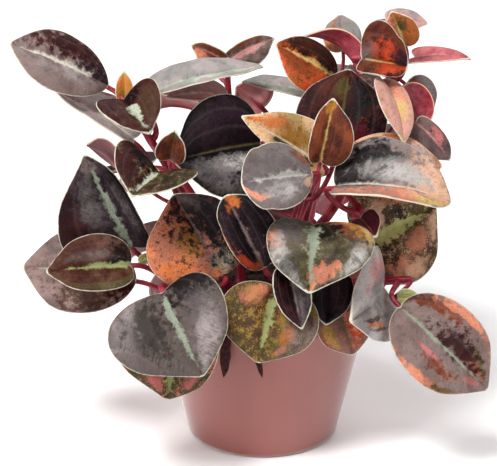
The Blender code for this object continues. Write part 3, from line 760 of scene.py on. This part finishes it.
def leaf_marks(g, s, look, blotches, colour, kind):
    """Blotches of one kind: pigment in ragged islands, deep tones whole, painted sheen in strokes."""
    for tone, at, over, length, width in look.marks:
        if MARK_KINDS.get(tone, "pigment") != kind:
            continue
        mask = g.group(
            blotches, along=s.along, across=s.across, patchy=s.patchy, brush=s.brush, fine=s.fine,
            at=at, over=over, length=length, width=width, softness=MARK_SOFTNESS[kind]).mask
        if kind in MARK_THINNING:
            signal, *limits = MARK_THINNING[kind]
            mask = thinned(mask, getattr(s, signal), *limits)
        colour = g.mix(mask * MARK_STRENGTH, colour, tone)
    return colour


def leaf_flecks(g, s, look, colour):
    if look.flecks is None:
        return colour
    tone, amount = look.flecks
    start, stop = FLECK_LIMITS
    return g.mix(s.speckle.ramp(start - amount, stop - amount) * FLECK_STRENGTH, colour, tone)


def leaf_rib(g, s, look, colour):
    """Midrib: a ragged brushed band that narrows toward the tip."""
    tone, half_width, start, stop = look.rib
    fade_in = s.along.ramp(*(start + offset for offset in RIB_FADE_IN))
    fade_out = s.along.ramp(*(stop + offset for offset in RIB_FADE_OUT))
    fade = fade_in * fade_out
    inside = (fade * (1.0 - RIB_LEAST_WIDTH) + RIB_LEAST_WIDTH) * half_width - s.middle
    inside = inside + rag(s, patchy=3.6 * half_width, brush=1.2 * half_width)
    rib = inside.ramp(-RIB_SOFTNESS, RIB_SOFTNESS) * fade.ramp(0.0, 0.2)
    return g.mix(thinned(rib, s.fine, *RIB_THINNING) * RIB_STRENGTH, colour, tone)


def leaf_margin(g, s, colour):
    """Pale rim, thinner in some places than in others."""
    rim = s.rim + rag(s, patchy=0.6)
    line = rim.ramp(MARGIN_WIDTH + MARGIN_SOFTNESS, MARGIN_WIDTH - MARGIN_SOFTNESS)
    return g.mix(line * MARGIN_STRENGTH, colour, "margin")


def leaf_upper(name, look, skins):
    """Upper side: main colours, blotches, flecks, painted satin sheen, brushed midrib, pale margin."""
    mat, g = new_material(name)
    s = g.group(skins["signals"])
    colour = leaf_ground(g, s, look)
    colour = leaf_marks(g, s, look, skins["blotch"], colour, "pigment")
    colour = leaf_flecks(g, s, look, colour)
    # Painted sheen: pale lilac strokes that stand in for the gloss of the satin skin.
    colour = g.mix(s.streak.ramp(0.46, 0.66) * (look.haze * PAINTED_SHEEN_STRENGTH), colour, "lilac")
    # Then deep tones, and last the painted sheen blotches: painted highlights on the satin skin.
    for kind in ("deep", "film"):
        colour = leaf_marks(g, s, look, skins["blotch"], colour, kind)
    colour = g.layers(
        colour,
        (s.shade.ramp(0.56, 0.36) * SHADE_STRENGTH, "soot"),
        (s.broad.ramp(0.56, 0.38) * CLOUD_STRENGTH, "soot"),
        (s.veins * VEIN_STRENGTH, "lilac"))
    colour = leaf_margin(g, s, leaf_rib(g, s, look, colour))
    colour = g.mix(1.0, colour, (LEAF_TONE, LEAF_TONE, LEAF_TONE, 1.0), "MULTIPLY")
    relief = s.fine * 0.4 + s.brush * 0.35 + s.patchy * 1.5
    return surfaced(mat, g, colour, 0.24 + s.patchy * 0.26, relief, depth=0.8, strength=0.6,
                    specular=LEAF_SPECULAR)


def leaf_under(tone, signals):
    """Underside: one warm colour with darker veins and a paler margin."""
    mat, g = new_material("leaf_under_" + tone)
    s = g.group(signals)
    pale, dark, cloud = UNDER_SHADES.get(tone, OTHER_UNDER_SHADES)
    rib = g.math("MAXIMUM", s.veins, s.middle.ramp(1.3, 0.5))
    colour = g.layers(
        g.mix(s.patchy.ramp(0.35, 0.70), tone, pale),
        (0.45, tone),
        (s.broad.ramp(0.44, 0.60) * UNDER_CLOUD, cloud),
        (s.brush.ramp(0.5, 0.75) * 0.30, dark),
        (s.middle.ramp(9.0, 0.5) * UNDER_FLUSH, dark),
        (rib * 0.30, dark),
        (s.rim.ramp(MARGIN_WIDTH, 0.1) * 0.7, "peach"))
    return surfaced(mat, g, colour, 0.38 + s.fine * 0.2, s.fine, depth=0.2, strength=0.35)


def stem_skin():
    """Crimson stems and stalks with wine-dark clouds and pale lengthwise streaks."""
    mat, g = new_material("stem_skin_real")
    along, around, swell = g.split(g.attribute("stem_place"))
    streaky = g.noise(g.join(along * 0.10, around * 2.2, swell), scale=1.0, detail=3.0, roughness=0.6)
    blotchy = g.noise(g.join(along, around, 0.0), scale=0.25, detail=3.0, roughness=0.55)
    colour = g.layers(
        g.mix(streaky.ramp(0.48, 0.72), "crimson", "pink"),
        (blotchy.ramp(0.36, 0.58) * 0.80, "wine"),
        (streaky.ramp(0.66, 0.80) * 0.5, "blush"))
    return surfaced(mat, g, colour, 0.34 + blotchy * 0.2, streaky, depth=0.3, strength=0.5,
                    specular=STEM_SPECULAR)


def pot_plastic():
    """Dusty pink satin plastic: faint clouding, scuffs, a few specks, darker and browner toward the foot."""
    mat, g = new_material("pot_plastic_real")
    point = g.object_point()
    height = g.split(point)[2] / MM
    cloud = g.noise(point, scale=28.0, detail=3.0, roughness=0.5)
    scuff = g.noise(point, scale=420.0, detail=3.0, roughness=0.6)
    speck = g.noise(point, scale=190.0, detail=1.0, roughness=0.4)
    # Darker and browner toward the foot, with a ragged upper edge.
    foot_darkening = cloud * 6.0 + height
    colour = g.layers(
        g.mix(cloud.ramp(0.35, 0.65), POT_PINK, POT_PALE_PINK),
        (foot_darkening.ramp(7.5, 3.5) * 0.5, "rust"),
        (speck.ramp(0.745, 0.80) * 0.45, "umber"))
    return surfaced(mat, g, colour, 0.36 + scuff * 0.16, scuff + cloud, depth=0.2, strength=0.25,
                    sheen=POT_SHEEN, sheen_roughness=POT_SHEEN_ROUGHNESS)


def peat():
    """Dark crumbly peat: brown fibre flecks over near-black."""
    mat, g = new_material("peat_real")
    point = g.object_point()
    coarse = g.noise(point, scale=260.0, detail=4.0, roughness=0.65)
    fine = g.noise(point, scale=1300.0, detail=3.0, roughness=0.7)
    colour = g.mix(coarse.ramp(0.38, 0.68), PEAT_BLACK, PEAT_BROWN)
    colour = g.mix(fine.ramp(0.56, 0.74) * 0.6, colour, PEAT_FIBRE)
    return surfaced(mat, g, colour, 0.75 + fine * 0.2, coarse + fine, depth=0.8, strength=0.8)


def dry_leaf():
    """Shrivelled dead leaf: dark reddish brown, wrinkled."""
    mat, g = new_material("dry_leaf")
    crinkle = g.noise(g.object_point(), scale=900.0, detail=4.0, roughness=0.7)
    colour = g.mix(crinkle.ramp(0.35, 0.7), DRY_DARK, DRY_BROWN)
    return surfaced(mat, g, colour, 0.6 + crinkle * 0.3, crinkle, depth=0.6, strength=0.9,
                    specular=LEAF_SPECULAR)


def polar(radius, angle, height=0.0):
    """The point at a radius, at an angle in radians and at a height."""
    return Vector((radius * math.cos(angle), radius * math.sin(angle), height))


def link(name, data, materials=()):
    """A new object in the scene with this data and these materials."""
    for mat in materials:
        data.materials.append(mat)
    item = bpy.data.objects.new(name, data)
    bpy.context.scene.collection.objects.link(item)
    return item


def mesh_of(bm, name):
    """The mesh that a bmesh has built, which ends the bmesh."""
    mesh = bpy.data.meshes.new(name)
    bm.to_mesh(mesh)
    bm.free()
    return mesh


def keep(item, nodes):
    """Ties a finished piece to the frame, after comparing its box with the CAD node's."""
    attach(item, "root")
    for node in nodes:
        low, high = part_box(node)
        own = np.array([corner[:] for corner in item.bound_box])
        off = max(abs(own.min(0) - low).max(), abs(own.max(0) - high).max())
        if off > BOX_SLACK * MM:
            raise ValueError(f"{item.name} is {off / MM:.1f} mm off {node}")
        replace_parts(item, node)


def smooth_route(points):
    """Catmull-Rom curve through the points, with a shoot's spans between each pair."""
    ends = [2 * points[0] - points[1]] + points + [2 * points[-1] - points[-2]]
    route = [points[0]]
    for before, start, end, after in zip(ends, ends[1:], ends[2:], ends[3:]):
        bend = (start, start + (end - before) / 6, end - (after - start) / 6, end)
        route += interpolate_bezier(*bend, SHOOT_SPANS + 1)[1:]
    return route


def is_root(name):
    return len(SHOOTS[name][0]) == 2


def shoot_route(name):
    """Points along a shoot: a root shoot starts inside its socket, a branch inside its parent."""
    start, *rest = SHOOTS[name]
    points = [Vector((*start, SOIL_TOP)[:3])] + [Vector(point) for point in rest]
    route = smooth_route(points)
    if is_root(name):
        direction = (points[1] - points[0]).normalized()
        route.insert(0, points[0] - direction * (SOCKET_DEPTH - SOCKET_GAP))
    return route


def point_on_shoot(name, height):
    """The shoot's centre line and direction at a height."""
    route = shoot_route(name)
    for start, end in zip(route, route[1:]):
        if start.z <= height <= end.z:
            share = (height - start.z) / (end.z - start.z)
            return start.lerp(end, share), (end - start).normalized()
    return route[-1], (route[-1] - route[-2]).normalized()


def leaf_frame(leaf):
    """Matrix whose X runs base to tip, Z points out of the leaf's upper side."""
    base = Vector(leaf.base)
    along = (Vector(leaf.tip) - base).normalized()
    bearing, elevation = (math.radians(angle) for angle in leaf.faces)
    facing = polar(math.cos(elevation), bearing, math.sin(elevation))
    across = facing.cross(along).normalized()
    turned = Matrix((along, across, along.cross(across))).transposed()
    return Matrix.Translation(base) @ turned.to_4x4()


def leaf_size(leaf):
    return (Vector(leaf.tip) - Vector(leaf.base)).length, leaf.width / 2


def blade_outline(leaf, u):
    """Half width along the blade, as a share of the widest."""
    bluntness = TIP_BLUNTNESS * leaf.belly / (1 - leaf.belly)
    peak = leaf.belly ** bluntness * (1 - leaf.belly) ** TIP_BLUNTNESS
    outline = np.clip(u, 0, 1) ** bluntness * np.clip(1 - u, 0, 1) ** TIP_BLUNTNESS / peak
    end = np.clip((u - TIP_START) / (1 - TIP_START), 0, 1)
    if leaf.name in ROUND_TIPS:
        return outline * (1 + TIP_ROUNDING * end * np.sqrt(1 - 0.8 * end))
    return outline * (1 - TIP_PINCH * end ** 1.5)


def blade_flat(leaf, u, v):
    """Flat place of the blade's points, and their share of the half width."""
    length, half = leaf_size(leaf)
    side = v * blade_outline(leaf, u)
    y = half * (side + leaf.lean * side * side)
    return length * (u - HEART * np.abs(side) * (1 - u) ** 2), y, side


def noise_grid(x, y, seed, size):
    """Smooth noise, about -1 to 1, over arrays of places."""
    places = zip(x.ravel() / size, y.ravel() / size)
    return np.array([noise.noise(Vector((a, b, seed))) for a, b in places]).reshape(x.shape)


def mid_length(u, power):
    """1 in the middle of the blade's length, 0 at its ends."""
    return np.sin(np.pi * np.clip(u, 0, 1)) ** power


def blade_relief(leaf, seed, u, v, x, y):
    """Small heights added to the blade: midrib channel, side veins, puckers, wavy margin."""
    middle = mid_length(u, 0.6)
    relief = -RIB_DEPTH * np.exp(-(y / RIB_HALF_WIDTH) ** 2) * middle
    for vein in VEINS:
        relief -= VEIN_DEPTH * np.exp(-((np.abs(v) - vein) / VEIN_SPREAD) ** 2) * middle
    inner = 1 - np.abs(v) ** 4
    relief += PUCKER * noise_grid(x, y, seed, PUCKER_SIZE) * inner
    relief += RIPPLE * noise_grid(x, y, seed + RIPPLE_SEED, RIPPLE_SIZE) * inner
    relief += WAVE * noise_grid(x, y * 0.5, seed + WAVE_SEED, WAVE_SIZE) * np.abs(v) ** 3 * middle
    return relief * min(1.0, leaf.width / FULL_RELIEF_WIDTH)


def blade_middle(leaf, seed, u, v):
    """Middle surface in the leaf's frame, and the flat coordinates that patterns use."""
    length, half = leaf_size(leaf)
    x, y, side = blade_flat(leaf, u, v)
    z = half * leaf.cup * np.abs(side) ** CUP_CREASE + length * leaf.arch * 4 * u * (1 - u)
    z = z + half * LOBE * np.sin(np.pi * np.abs(v)) * mid_length(u, 0.5)
    z = z + blade_relief(leaf, seed, u, v, x, y)
    turn = math.radians(leaf.twist) * (u - 0.5)
    points = np.stack([x, y * np.cos(turn) - z * np.sin(turn), y * np.sin(turn) + z * np.cos(turn)], -1)
    return points, x, y


def grid_normals(points):
    """Unit normals of a grid of points, with the collapsed end rows taken from their neighbours."""
    normals = np.cross(np.gradient(points, axis=0), np.gradient(points, axis=1))
    normals[0] = normals[1].mean(0)
    normals[-1] = normals[-2].mean(0)
    return normals / np.maximum(np.linalg.norm(normals, axis=-1, keepdims=True), 1e-9)


def rim_distance(leaf, x, y):
    """Distance in the flat blade from each point to its margin."""
    share = np.linspace(0, 1, OUTLINE_POINTS)
    fine = np.linspace(0, 1, FINE_OUTLINE_POINTS)
    u = (1 - np.cos(np.pi * share)) / 2
    distances = []
    for side in (-1.0, 1.0):
        edge_x, edge_y, _ = blade_flat(leaf, u, np.full(u.shape, side))
        gaps = np.hypot(x[..., None] - np.interp(fine, share, edge_x),
                        y[..., None] - np.interp(fine, share, edge_y))
        distances.append(gaps.min(-1))
    return np.minimum(*distances)


def blade_faces(rows, columns):
    """Vertex numbers of the blade's two sides, which share their rim, and its faces."""
    top = np.zeros((rows + 1, columns + 1), int)
    top[1:rows] = np.arange((rows - 1) * (columns + 1)).reshape(rows - 1, columns + 1) + 2
    top[rows] = 1
    bottom = top.copy()
    inner = np.arange((rows - 1) * (columns - 1)).reshape(rows - 1, columns - 1)
    bottom[1:rows, 1:columns] = inner + top.max() + 1
    faces = []
    for sheet, order in ((top, 1), (bottom, -1)):
        for i in range(rows):
            for j in range(columns):
                ring = [sheet[i, j], sheet[i + 1, j], sheet[i + 1, j + 1], sheet[i, j + 1]]
                ring = [number for k, number in enumerate(ring) if number != ring[k - 1]]
                faces.append(ring[::order])
    return top, bottom, faces


def both_sides(top, bottom, upper, lower):
    """Values of all vertices, from those of the upper and the lower grid."""
    values = np.zeros((bottom.max() + 1, 3))
    values[bottom] = lower
    values[top] = upper
    return values


def blade_shell(leaf, seed):
    """A closed fleshy blade in its leaf's frame, with its patterns' coordinates."""
    spread = np.linspace(-1, 1, BLADE_COLUMNS + 1)
    spread = EVEN_COLUMNS * spread + (1 - EVEN_COLUMNS) * np.sin(spread * np.pi / 2)
    share = np.linspace(0, 1, BLADE_ROWS + 1)
    u, v = np.meshgrid((1 - np.cos(np.pi * share)) / 2, spread, indexing="ij")
    points, x, y = blade_middle(leaf, seed, u, v)
    normals = grid_normals(points)
    round_off = np.sqrt(np.clip(1 - np.abs(v) ** EDGE_ROUNDING, 0, 1))
    round_off *= np.sqrt(np.clip(1 - np.abs(2 * u - 1) ** (4 * EDGE_ROUNDING), 0, 1))
    half = BLADE_THICKNESS / 2 * round_off
    keel = KEEL * np.exp(-(y / KEEL_HALF_WIDTH) ** 2) * (1 - u) ** 1.5 * round_off
    upper = points + normals * half[..., None]
    lower = points - normals * (half + keel)[..., None]
    top, bottom, faces = blade_faces(BLADE_ROWS, BLADE_COLUMNS)
    place = np.stack([u, v, rim_distance(leaf, x, y)], -1)
    flat = np.stack([x, y, np.full(x.shape, seed)], -1)
    vertices = both_sides(top, bottom, upper, lower)
    return {
        "vertices": vertices, "faces": faces, "numbers": np.repeat([0, 1], len(faces) // 2),
        "leaf_place": both_sides(top, bottom, place, place),
        "leaf_mm": both_sides(top, bottom, flat, flat), "stem_place": np.zeros(vertices.shape)}


def tube_shell(route, radii, number):
    """A closed round tube of one material, with its (along, around, radius) coordinates."""
    vertices = []
    place = []
    side = None
    walked = 0.0
    last = len(route) - 1
    for index, point in enumerate(route):
        ahead = route[min(index + 1, last)]
        behind = route[max(index - 1, 0)]
        walked += (point - behind).length
        direction = (ahead - behind).normalized()
        side = direction.orthogonal() if side is None else side - direction * side.dot(direction)
        side = side.normalized()
        up = direction.cross(side)
        for step in range(TUBE_SIDES):
            angle = 2 * math.pi * step / TUBE_SIDES
            reach = side * math.cos(angle) + up * math.sin(angle)
            vertices.append((point + reach * radii[index])[:])
            place.append((walked, math.cos(angle), math.sin(angle) * 0.5 + radii[index]))
    faces = [list(range(TUBE_SIDES))[::-1]]
    for ring in range(0, last * TUBE_SIDES, TUBE_SIDES):
        for step in range(TUBE_SIDES):
            a, b = ring + step, ring + (step + 1) % TUBE_SIDES
            faces.append([a, b, b + TUBE_SIDES, a + TUBE_SIDES])
    faces.append(list(range(last * TUBE_SIDES, len(vertices))))
    vertices = np.array(vertices)
    return {
        "vertices": vertices, "faces": faces, "numbers": [number] * len(faces),
        "leaf_place": np.full(vertices.shape, OFF_BLADE), "leaf_mm": vertices,
        "stem_place": np.array(place)}


def build_mesh(name, shells):
    """One mesh from closed shells, with the coordinates that the materials' patterns use."""
    faces = []
    start = 0
    for shell in shells:
        faces += [[corner + start for corner in face] for face in shell["faces"]]
        start += len(shell["vertices"])

    def joined(label):
        return np.concatenate([shell[label] for shell in shells])

    mesh = bpy.data.meshes.new(name)
    mesh.from_pydata((joined("vertices") * MM).tolist(), [], faces)
    mesh.polygons.foreach_set("material_index", joined("numbers"))
    for label in ("leaf_place", "leaf_mm", "stem_place"):
        layer = mesh.attributes.new(label, "FLOAT_VECTOR", "POINT")
        layer.data.foreach_set("vector", joined(label).astype(np.float32).ravel())
    mesh.update()
    mesh.shade_smooth()
    return mesh


def stalk_route(leaf):
    """Curve from inside the shoot to under the blade's base."""
    matrix = leaf_frame(leaf)
    centre, rise = point_on_shoot(leaf.shoot, leaf.height)
    outward = Vector(leaf.base) - centre
    outward = (outward - rise * outward.dot(rise)).normalized()
    start = centre + outward * STALK_RADIUS
    arrive = matrix @ Vector((-STALK_LEAD, 0.0, -STALK_DEPTH - STALK_DROP))
    reach = (arrive - start).length * STALK_BEND
    along = matrix.to_3x3() @ Vector((1.0, 0.0, 0.0))
    bend = (start, start + outward * reach, arrive - along * reach, arrive)
    return interpolate_bezier(*bend, STALK_SPANS + 1)


def stalk_shell(leaf, seed):
    """The stalk: flared where it leaves the shoot, running out as a keel under the blade."""
    route = stalk_route(leaf)
    scale = 1.0 if leaf.width > SMALL_LEAF_WIDTH else SMALL_STALK
    radii = [STALK_RADIUS * scale * (1.0 + STALK_FLARE * (1 - step / STALK_SPANS) ** 6)
             for step in range(STALK_SPANS + 1)]
    matrix = leaf_frame(leaf)
    for u, radius in STALK_KEEL:
        points, _, _ = blade_middle(leaf, seed, np.array([[u]]), np.array([[0.0]]))
        route.append(matrix @ (Vector(points[0, 0]) - Vector((0.0, 0.0, STALK_DEPTH * scale))))
        radii.append(radius * scale)
    return tube_shell(route, radii, 2)


def build_leaf(leaf, seed, skins):
    """Blade and stalk as one piece."""
    blade = blade_shell(leaf, seed)
    matrix = np.array(leaf_frame(leaf))
    blade["vertices"] = blade["vertices"] @ matrix[:3, :3].T + matrix[:3, 3]
    name = leaf.name + "_real"
    look = LOOKS[leaf.name]
    mesh = build_mesh(name, [blade, stalk_shell(leaf, seed)])
    upper = leaf_upper(name + "_upper", look, skins)
    return link(name, mesh, [upper, skins["under"][look.under], skins["stem"]])


def shoot_shell(name):
    """A shoot, tapering to its tip and swollen at each joint where a leaf or branch leaves."""
    route = shoot_route(name)
    last = len(route) - 1
    full = STEM_FLESH + (STEM_RADIUS if is_root(name) else BRANCH_RADIUS)
    joints = [leaf.height for leaf in LEAVES + YOUNG_LEAVES if leaf.shoot == name]
    radii = []
    for index, point in enumerate(route):
        radius = full + (STEM_TIP_RADIUS - full) * (index / last) ** 2
        near = min(abs(point.z - height) for height in joints)
        radii.append(radius * (1 + JOINT_SWELL * math.exp(-(near / JOINT_LENGTH) ** 2)))
    end = (route[-1] - route[-2]).normalized()
    route.append(route[-1] + end * radii[-1] * TIP_LENGTH)
    radii.append(radii[-1] * TIP_TAPER)
    return tube_shell(route, radii, 0)


def build_stem(name, skin):
    """A plant's shoots as one piece, which its young tip leaves ride with."""
    mesh = build_mesh(name, [shoot_shell(shoot) for shoot in PLANTS[name]])
    return link(name + "_real", mesh, [skin])


def pot_radius(height):
    """Outer radius of the tapered wall at a height."""
    return POT_BASE_RADIUS + (POT_TOP_RADIUS - POT_BASE_RADIUS) * height / POT_HEIGHT


def pot_profile():
    """Section from the inner floor's middle, over the lip, down to the base's middle."""
    floor_edge = POT_FLOOR + POT_FOOT_ROUND / 2
    inner_radius = POT_TOP_RADIUS - POT_WALL
    lip_radius = POT_TOP_RADIUS + LIP_PROUD
    lip_bottom = POT_HEIGHT - LIP_HEIGHT
    points = [
        (0.0, POT_FLOOR),
        (pot_radius(POT_FLOOR) - POT_WALL - POT_FOOT_ROUND / 2, POT_FLOOR),
        (pot_radius(floor_edge) - POT_WALL, floor_edge),
        (inner_radius, POT_HEIGHT - LIP_EDGE),
        (inner_radius + LIP_EDGE, POT_HEIGHT),
        (lip_radius - LIP_EDGE, POT_HEIGHT),
        (lip_radius, POT_HEIGHT - LIP_EDGE),
        (lip_radius - LIP_DRAFT, lip_bottom),
        (pot_radius(lip_bottom - LIP_EDGE), lip_bottom - LIP_EDGE),
    ]
    centre = pot_radius(POT_FOOT_ROUND) - POT_FOOT_ROUND
    for step in range(FOOT_STEPS + 1):
        angle = math.radians(90.0 * step / FOOT_STEPS)
        points.append((centre + POT_FOOT_ROUND * math.cos(angle),
                       POT_FOOT_ROUND - POT_FOOT_ROUND * math.sin(angle)))
    return points + [(0.0, 0.0)]


def baked(item):
    """Applies the object's modifiers."""
    bpy.context.view_layer.update()
    evaluated = item.evaluated_get(bpy.context.evaluated_depsgraph_get())
    mesh = bpy.data.meshes.new_from_object(evaluated)
    item.modifiers.clear()
    item.data = mesh
    return item


def drain_drill(index):
    """The round bar that cuts one drain hole."""
    bm = bmesh.new()
    bmesh.ops.create_cone(
        bm, cap_ends=True, segments=DRAIN_SIDES, radius1=DRAIN_HOLE_RADIUS * MM,
        radius2=DRAIN_HOLE_RADIUS * MM, depth=4 * POT_FLOOR * MM)
    drill = link("drill", mesh_of(bm, "drill"))
    drill.location = polar(1.0, 2 * math.pi * index / DRAIN_HOLES) * DRAIN_RING_RADIUS * MM
    return drill


def build_pot(skin):
    """The pot, turned from its section, with drain holes."""
    bm = bmesh.new()
    corners = [bm.verts.new((radius * MM, 0.0, height * MM)) for radius, height in pot_profile()]
    for ends in zip(corners, corners[1:]):
        bm.edges.new(ends)
    pot = link("pot_real", mesh_of(bm, "pot_real"), [skin])
    screw = pot.modifiers.new("turn", "SCREW")
    screw.steps = POT_STEPS
    screw.render_steps = POT_STEPS
    screw.use_merge_vertices = True
    screw.merge_threshold = MERGE_DISTANCE * MM
    drills = [drain_drill(index) for index in range(DRAIN_HOLES)]
    for drill in drills:
        cut = pot.modifiers.new("drain", "BOOLEAN")
        cut.operation = "DIFFERENCE"
        cut.solver = "EXACT"
        cut.object = drill
    baked(pot)
    for drill in drills:
        bpy.data.objects.remove(drill, do_unlink=True)
    pot.data.shade_smooth()
    pot.data.set_sharp_from_angle(angle=math.radians(SHARP_ANGLE))
    return pot


def disc_point(x, y):
    """Maps the square -1..1 on the unit disc, keeping the grid's rows evenly spread."""
    return x * math.sqrt(1 - y * y / 2), y * math.sqrt(1 - x * x / 2)


def soil_height(x, y):
    """Height of the peat's surface over a point of the unit disc, without its fine grain."""
    bump = noise.noise(Vector((x, y, 0.0)) * POT_TOP_RADIUS / SOIL_BUMP_SIZE)
    return SOIL_TOP + SOIL_BUMP * bump


def build_soil(skin):
    """The peat: a round plug with a bumpy, grainy top that fills the pot."""
    bottom = POT_FLOOR + FIT_GAP
    bottom_radius = pot_radius(POT_FLOOR) - POT_WALL - POT_FOOT_ROUND / 2 - FIT_GAP
    bm = bmesh.new()
    bmesh.ops.create_grid(bm, x_segments=SOIL_CELLS, y_segments=SOIL_CELLS, size=1.0)
    floor = bmesh.ops.extrude_face_region(bm, geom=bm.faces[:], use_keep_orig=True)
    lowered = {item for item in floor["geom"] if isinstance(item, bmesh.types.BMVert)}
    for vertex in bm.verts:
        x, y = disc_point(vertex.co.x, vertex.co.y)
        if vertex in lowered:
            vertex.co = Vector((x * bottom_radius, y * bottom_radius, bottom)) * MM
            continue
        height = soil_height(x, y)
        grain = noise.noise(Vector((x, y, 0.5)) * POT_TOP_RADIUS / SOIL_GRAIN_SIZE)
        radius = pot_radius(height - SOIL_BUMP) - POT_WALL - FIT_GAP
        vertex.co = Vector((x * radius, y * radius, height + SOIL_GRAIN * grain)) * MM
    bmesh.ops.recalc_face_normals(bm, faces=bm.faces)
    mesh = mesh_of(bm, "soil_real")
    mesh.shade_smooth()
    return link("soil_real", mesh, [skin])


def build_crumbs(skin, chance):
    """Loose crumbs and short fibres lying on the peat, as one piece."""
    bm = bmesh.new()
    for _ in range(CRUMBS):
        angle = chance.uniform(0, 2 * math.pi)
        reach = math.sqrt(chance.uniform(0, 1)) * CRUMB_FIELD
        x, y, _ = polar(reach, angle)
        size = chance.uniform(*CRUMB_SIZES)
        long = chance.choice(CRUMB_LENGTHS)
        turn = Matrix.Rotation(chance.uniform(0, 2 * math.pi), 4, "Z")
        tilt = Matrix.Rotation(chance.uniform(-CRUMB_TILT, CRUMB_TILT), 4, "X")
        shape = Matrix.Diagonal((size * long, size, size * CRUMB_FLATNESS, 1.0))
        ground = soil_height(x / POT_TOP_RADIUS, y / POT_TOP_RADIUS)
        place = Matrix.Translation((x, y, ground + size * CRUMB_LIFT)) @ turn @ tilt @ shape
        made = bmesh.ops.create_icosphere(bm, subdivisions=1, radius=0.5, matrix=place)
        for vertex in made["verts"]:
            shift = noise.noise_vector(vertex.co * CRUMB_ROUGHNESS_SCALE)
            vertex.co += Vector(shift) * size * CRUMB_ROUGHNESS
    bmesh.ops.scale(bm, vec=(MM, MM, MM), verts=bm.verts)
    return link("soil_crumbs", mesh_of(bm, "soil_crumbs"), [skin])


def build_scrap(name, bearing, top, length, width, lean, skin):
    """A shrivelled scrap of dead leaf hanging over the lip against the pot's wall."""
    bm = bmesh.new()
    columns, rows = SCRAP_CELLS
    bmesh.ops.create_grid(bm, x_segments=columns, y_segments=rows, size=1.0)
    for vertex in bm.verts:
        across, down = vertex.co.x, (1 - vertex.co.y) / 2
        height = top - length * down
        outline = width / 2 * math.sin(math.pi * (SCRAP_STUB + (1 - SCRAP_STUB) * down)) ** 0.7
        ragged = 1 + SCRAP_RAG * noise.noise(Vector((across, down * 4, bearing)))
        side = across * outline * ragged + lean * down
        crinkle = SCRAP_CRINKLE * noise.noise(Vector((side * 0.8, height * 0.5, bearing)))
        out = max(pot_radius(height), POT_TOP_RADIUS) + LIP_PROUD + SCRAP_GAP + abs(crinkle)
        out -= SCRAP_CURL * down * down
        angle = math.radians(bearing) + side / out
        vertex.co = polar(out, angle, height) * MM
    mesh = mesh_of(bm, name)
    mesh.shade_smooth()
    scrap = link(name, mesh, [skin])
    shell = scrap.modifiers.new("thickness", "SOLIDIFY")
    shell.thickness = SCRAP_THICKNESS * MM
    return baked(scrap)


def build_camera():
    """The photo's view: level across, looking down on the plant's middle."""
    data = bpy.data.cameras.new("camera")
    data.lens = SENSOR_MM * PIXELS_PER_MM * CAMERA_DISTANCE / FRAME_WIDTH_PX
    data.sensor_width = SENSOR_MM
    data.clip_start = 0.01
    camera = link("camera", data)
    tilt = math.radians(CAMERA_ELEVATION)
    off = Vector((0.0, -math.cos(tilt), math.sin(tilt))) * CAMERA_DISTANCE
    camera.location = (Vector(CAMERA_TARGET) + off) * MM
    camera.rotation_euler = (math.radians(90) - tilt, 0.0, 0.0)
    bpy.context.scene.camera = camera


def build_light(name, place, size, power):
    """A soft square lamp aimed at the plant's middle."""
    data = bpy.data.lights.new(name, "AREA")
    data.size = size
    data.energy = power
    lamp = link(name, data)
    lamp.location = place
    aim = Vector(CAMERA_TARGET) * MM - Vector(place)
    lamp.rotation_euler = aim.to_track_quat("-Z", "Y").to_euler()


def build_studio():
    """White floor, white surroundings and soft lamps."""
    bm = bmesh.new()
    bmesh.ops.create_grid(bm, x_segments=1, y_segments=1, size=FLOOR_HALF_SIZE)
    white = surfaced(*new_material("floor_white"), colour=FLOOR_COLOUR, roughness=0.9, specular=0.1)
    link("floor", mesh_of(bm, "floor"), [white])
    world = bpy.data.worlds.new("studio")
    world.use_nodes = True
    background = world.node_tree.nodes["Background"]
    background.inputs["Color"].default_value = WHITE
    background.inputs["Strength"].default_value = WORLD_STRENGTH
    bpy.context.scene.world = world
    for lamp in LAMPS:
        build_light(*lamp)
    bpy.context.scene.view_settings.view_transform = "Standard"


def build_all():
    """Every piece, tied to the frame."""
    chance = random.Random(SEED)
    skins = {"signals": leaf_signals(), "blotch": blotch(), "stem": stem_skin()}
    tones = sorted({look.under for look in LOOKS.values()})
    skins["under"] = {tone: leaf_under(tone, skins["signals"]) for tone in tones}
    keep(build_pot(pot_plastic()), ["pot"])
    earth = peat()
    keep(build_soil(earth), ["soil"])
    keep(build_crumbs(earth, chance), [])
    dead = dry_leaf()
    for scrap in SCRAPS:
        keep(build_scrap(*scrap, dead), [])
    for name in PLANTS:
        item = build_stem(name, skins["stem"])
        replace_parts(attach(item, "root"), name)
    for number, leaf in enumerate(LEAVES):
        keep(build_leaf(leaf, number * SEED_STEP, skins), [leaf.name])
    for number, leaf in enumerate(YOUNG_LEAVES, YOUNG_SEEDS):
        keep(build_leaf(leaf, number * SEED_STEP, skins), [])


build_camera()
build_studio()
build_all()
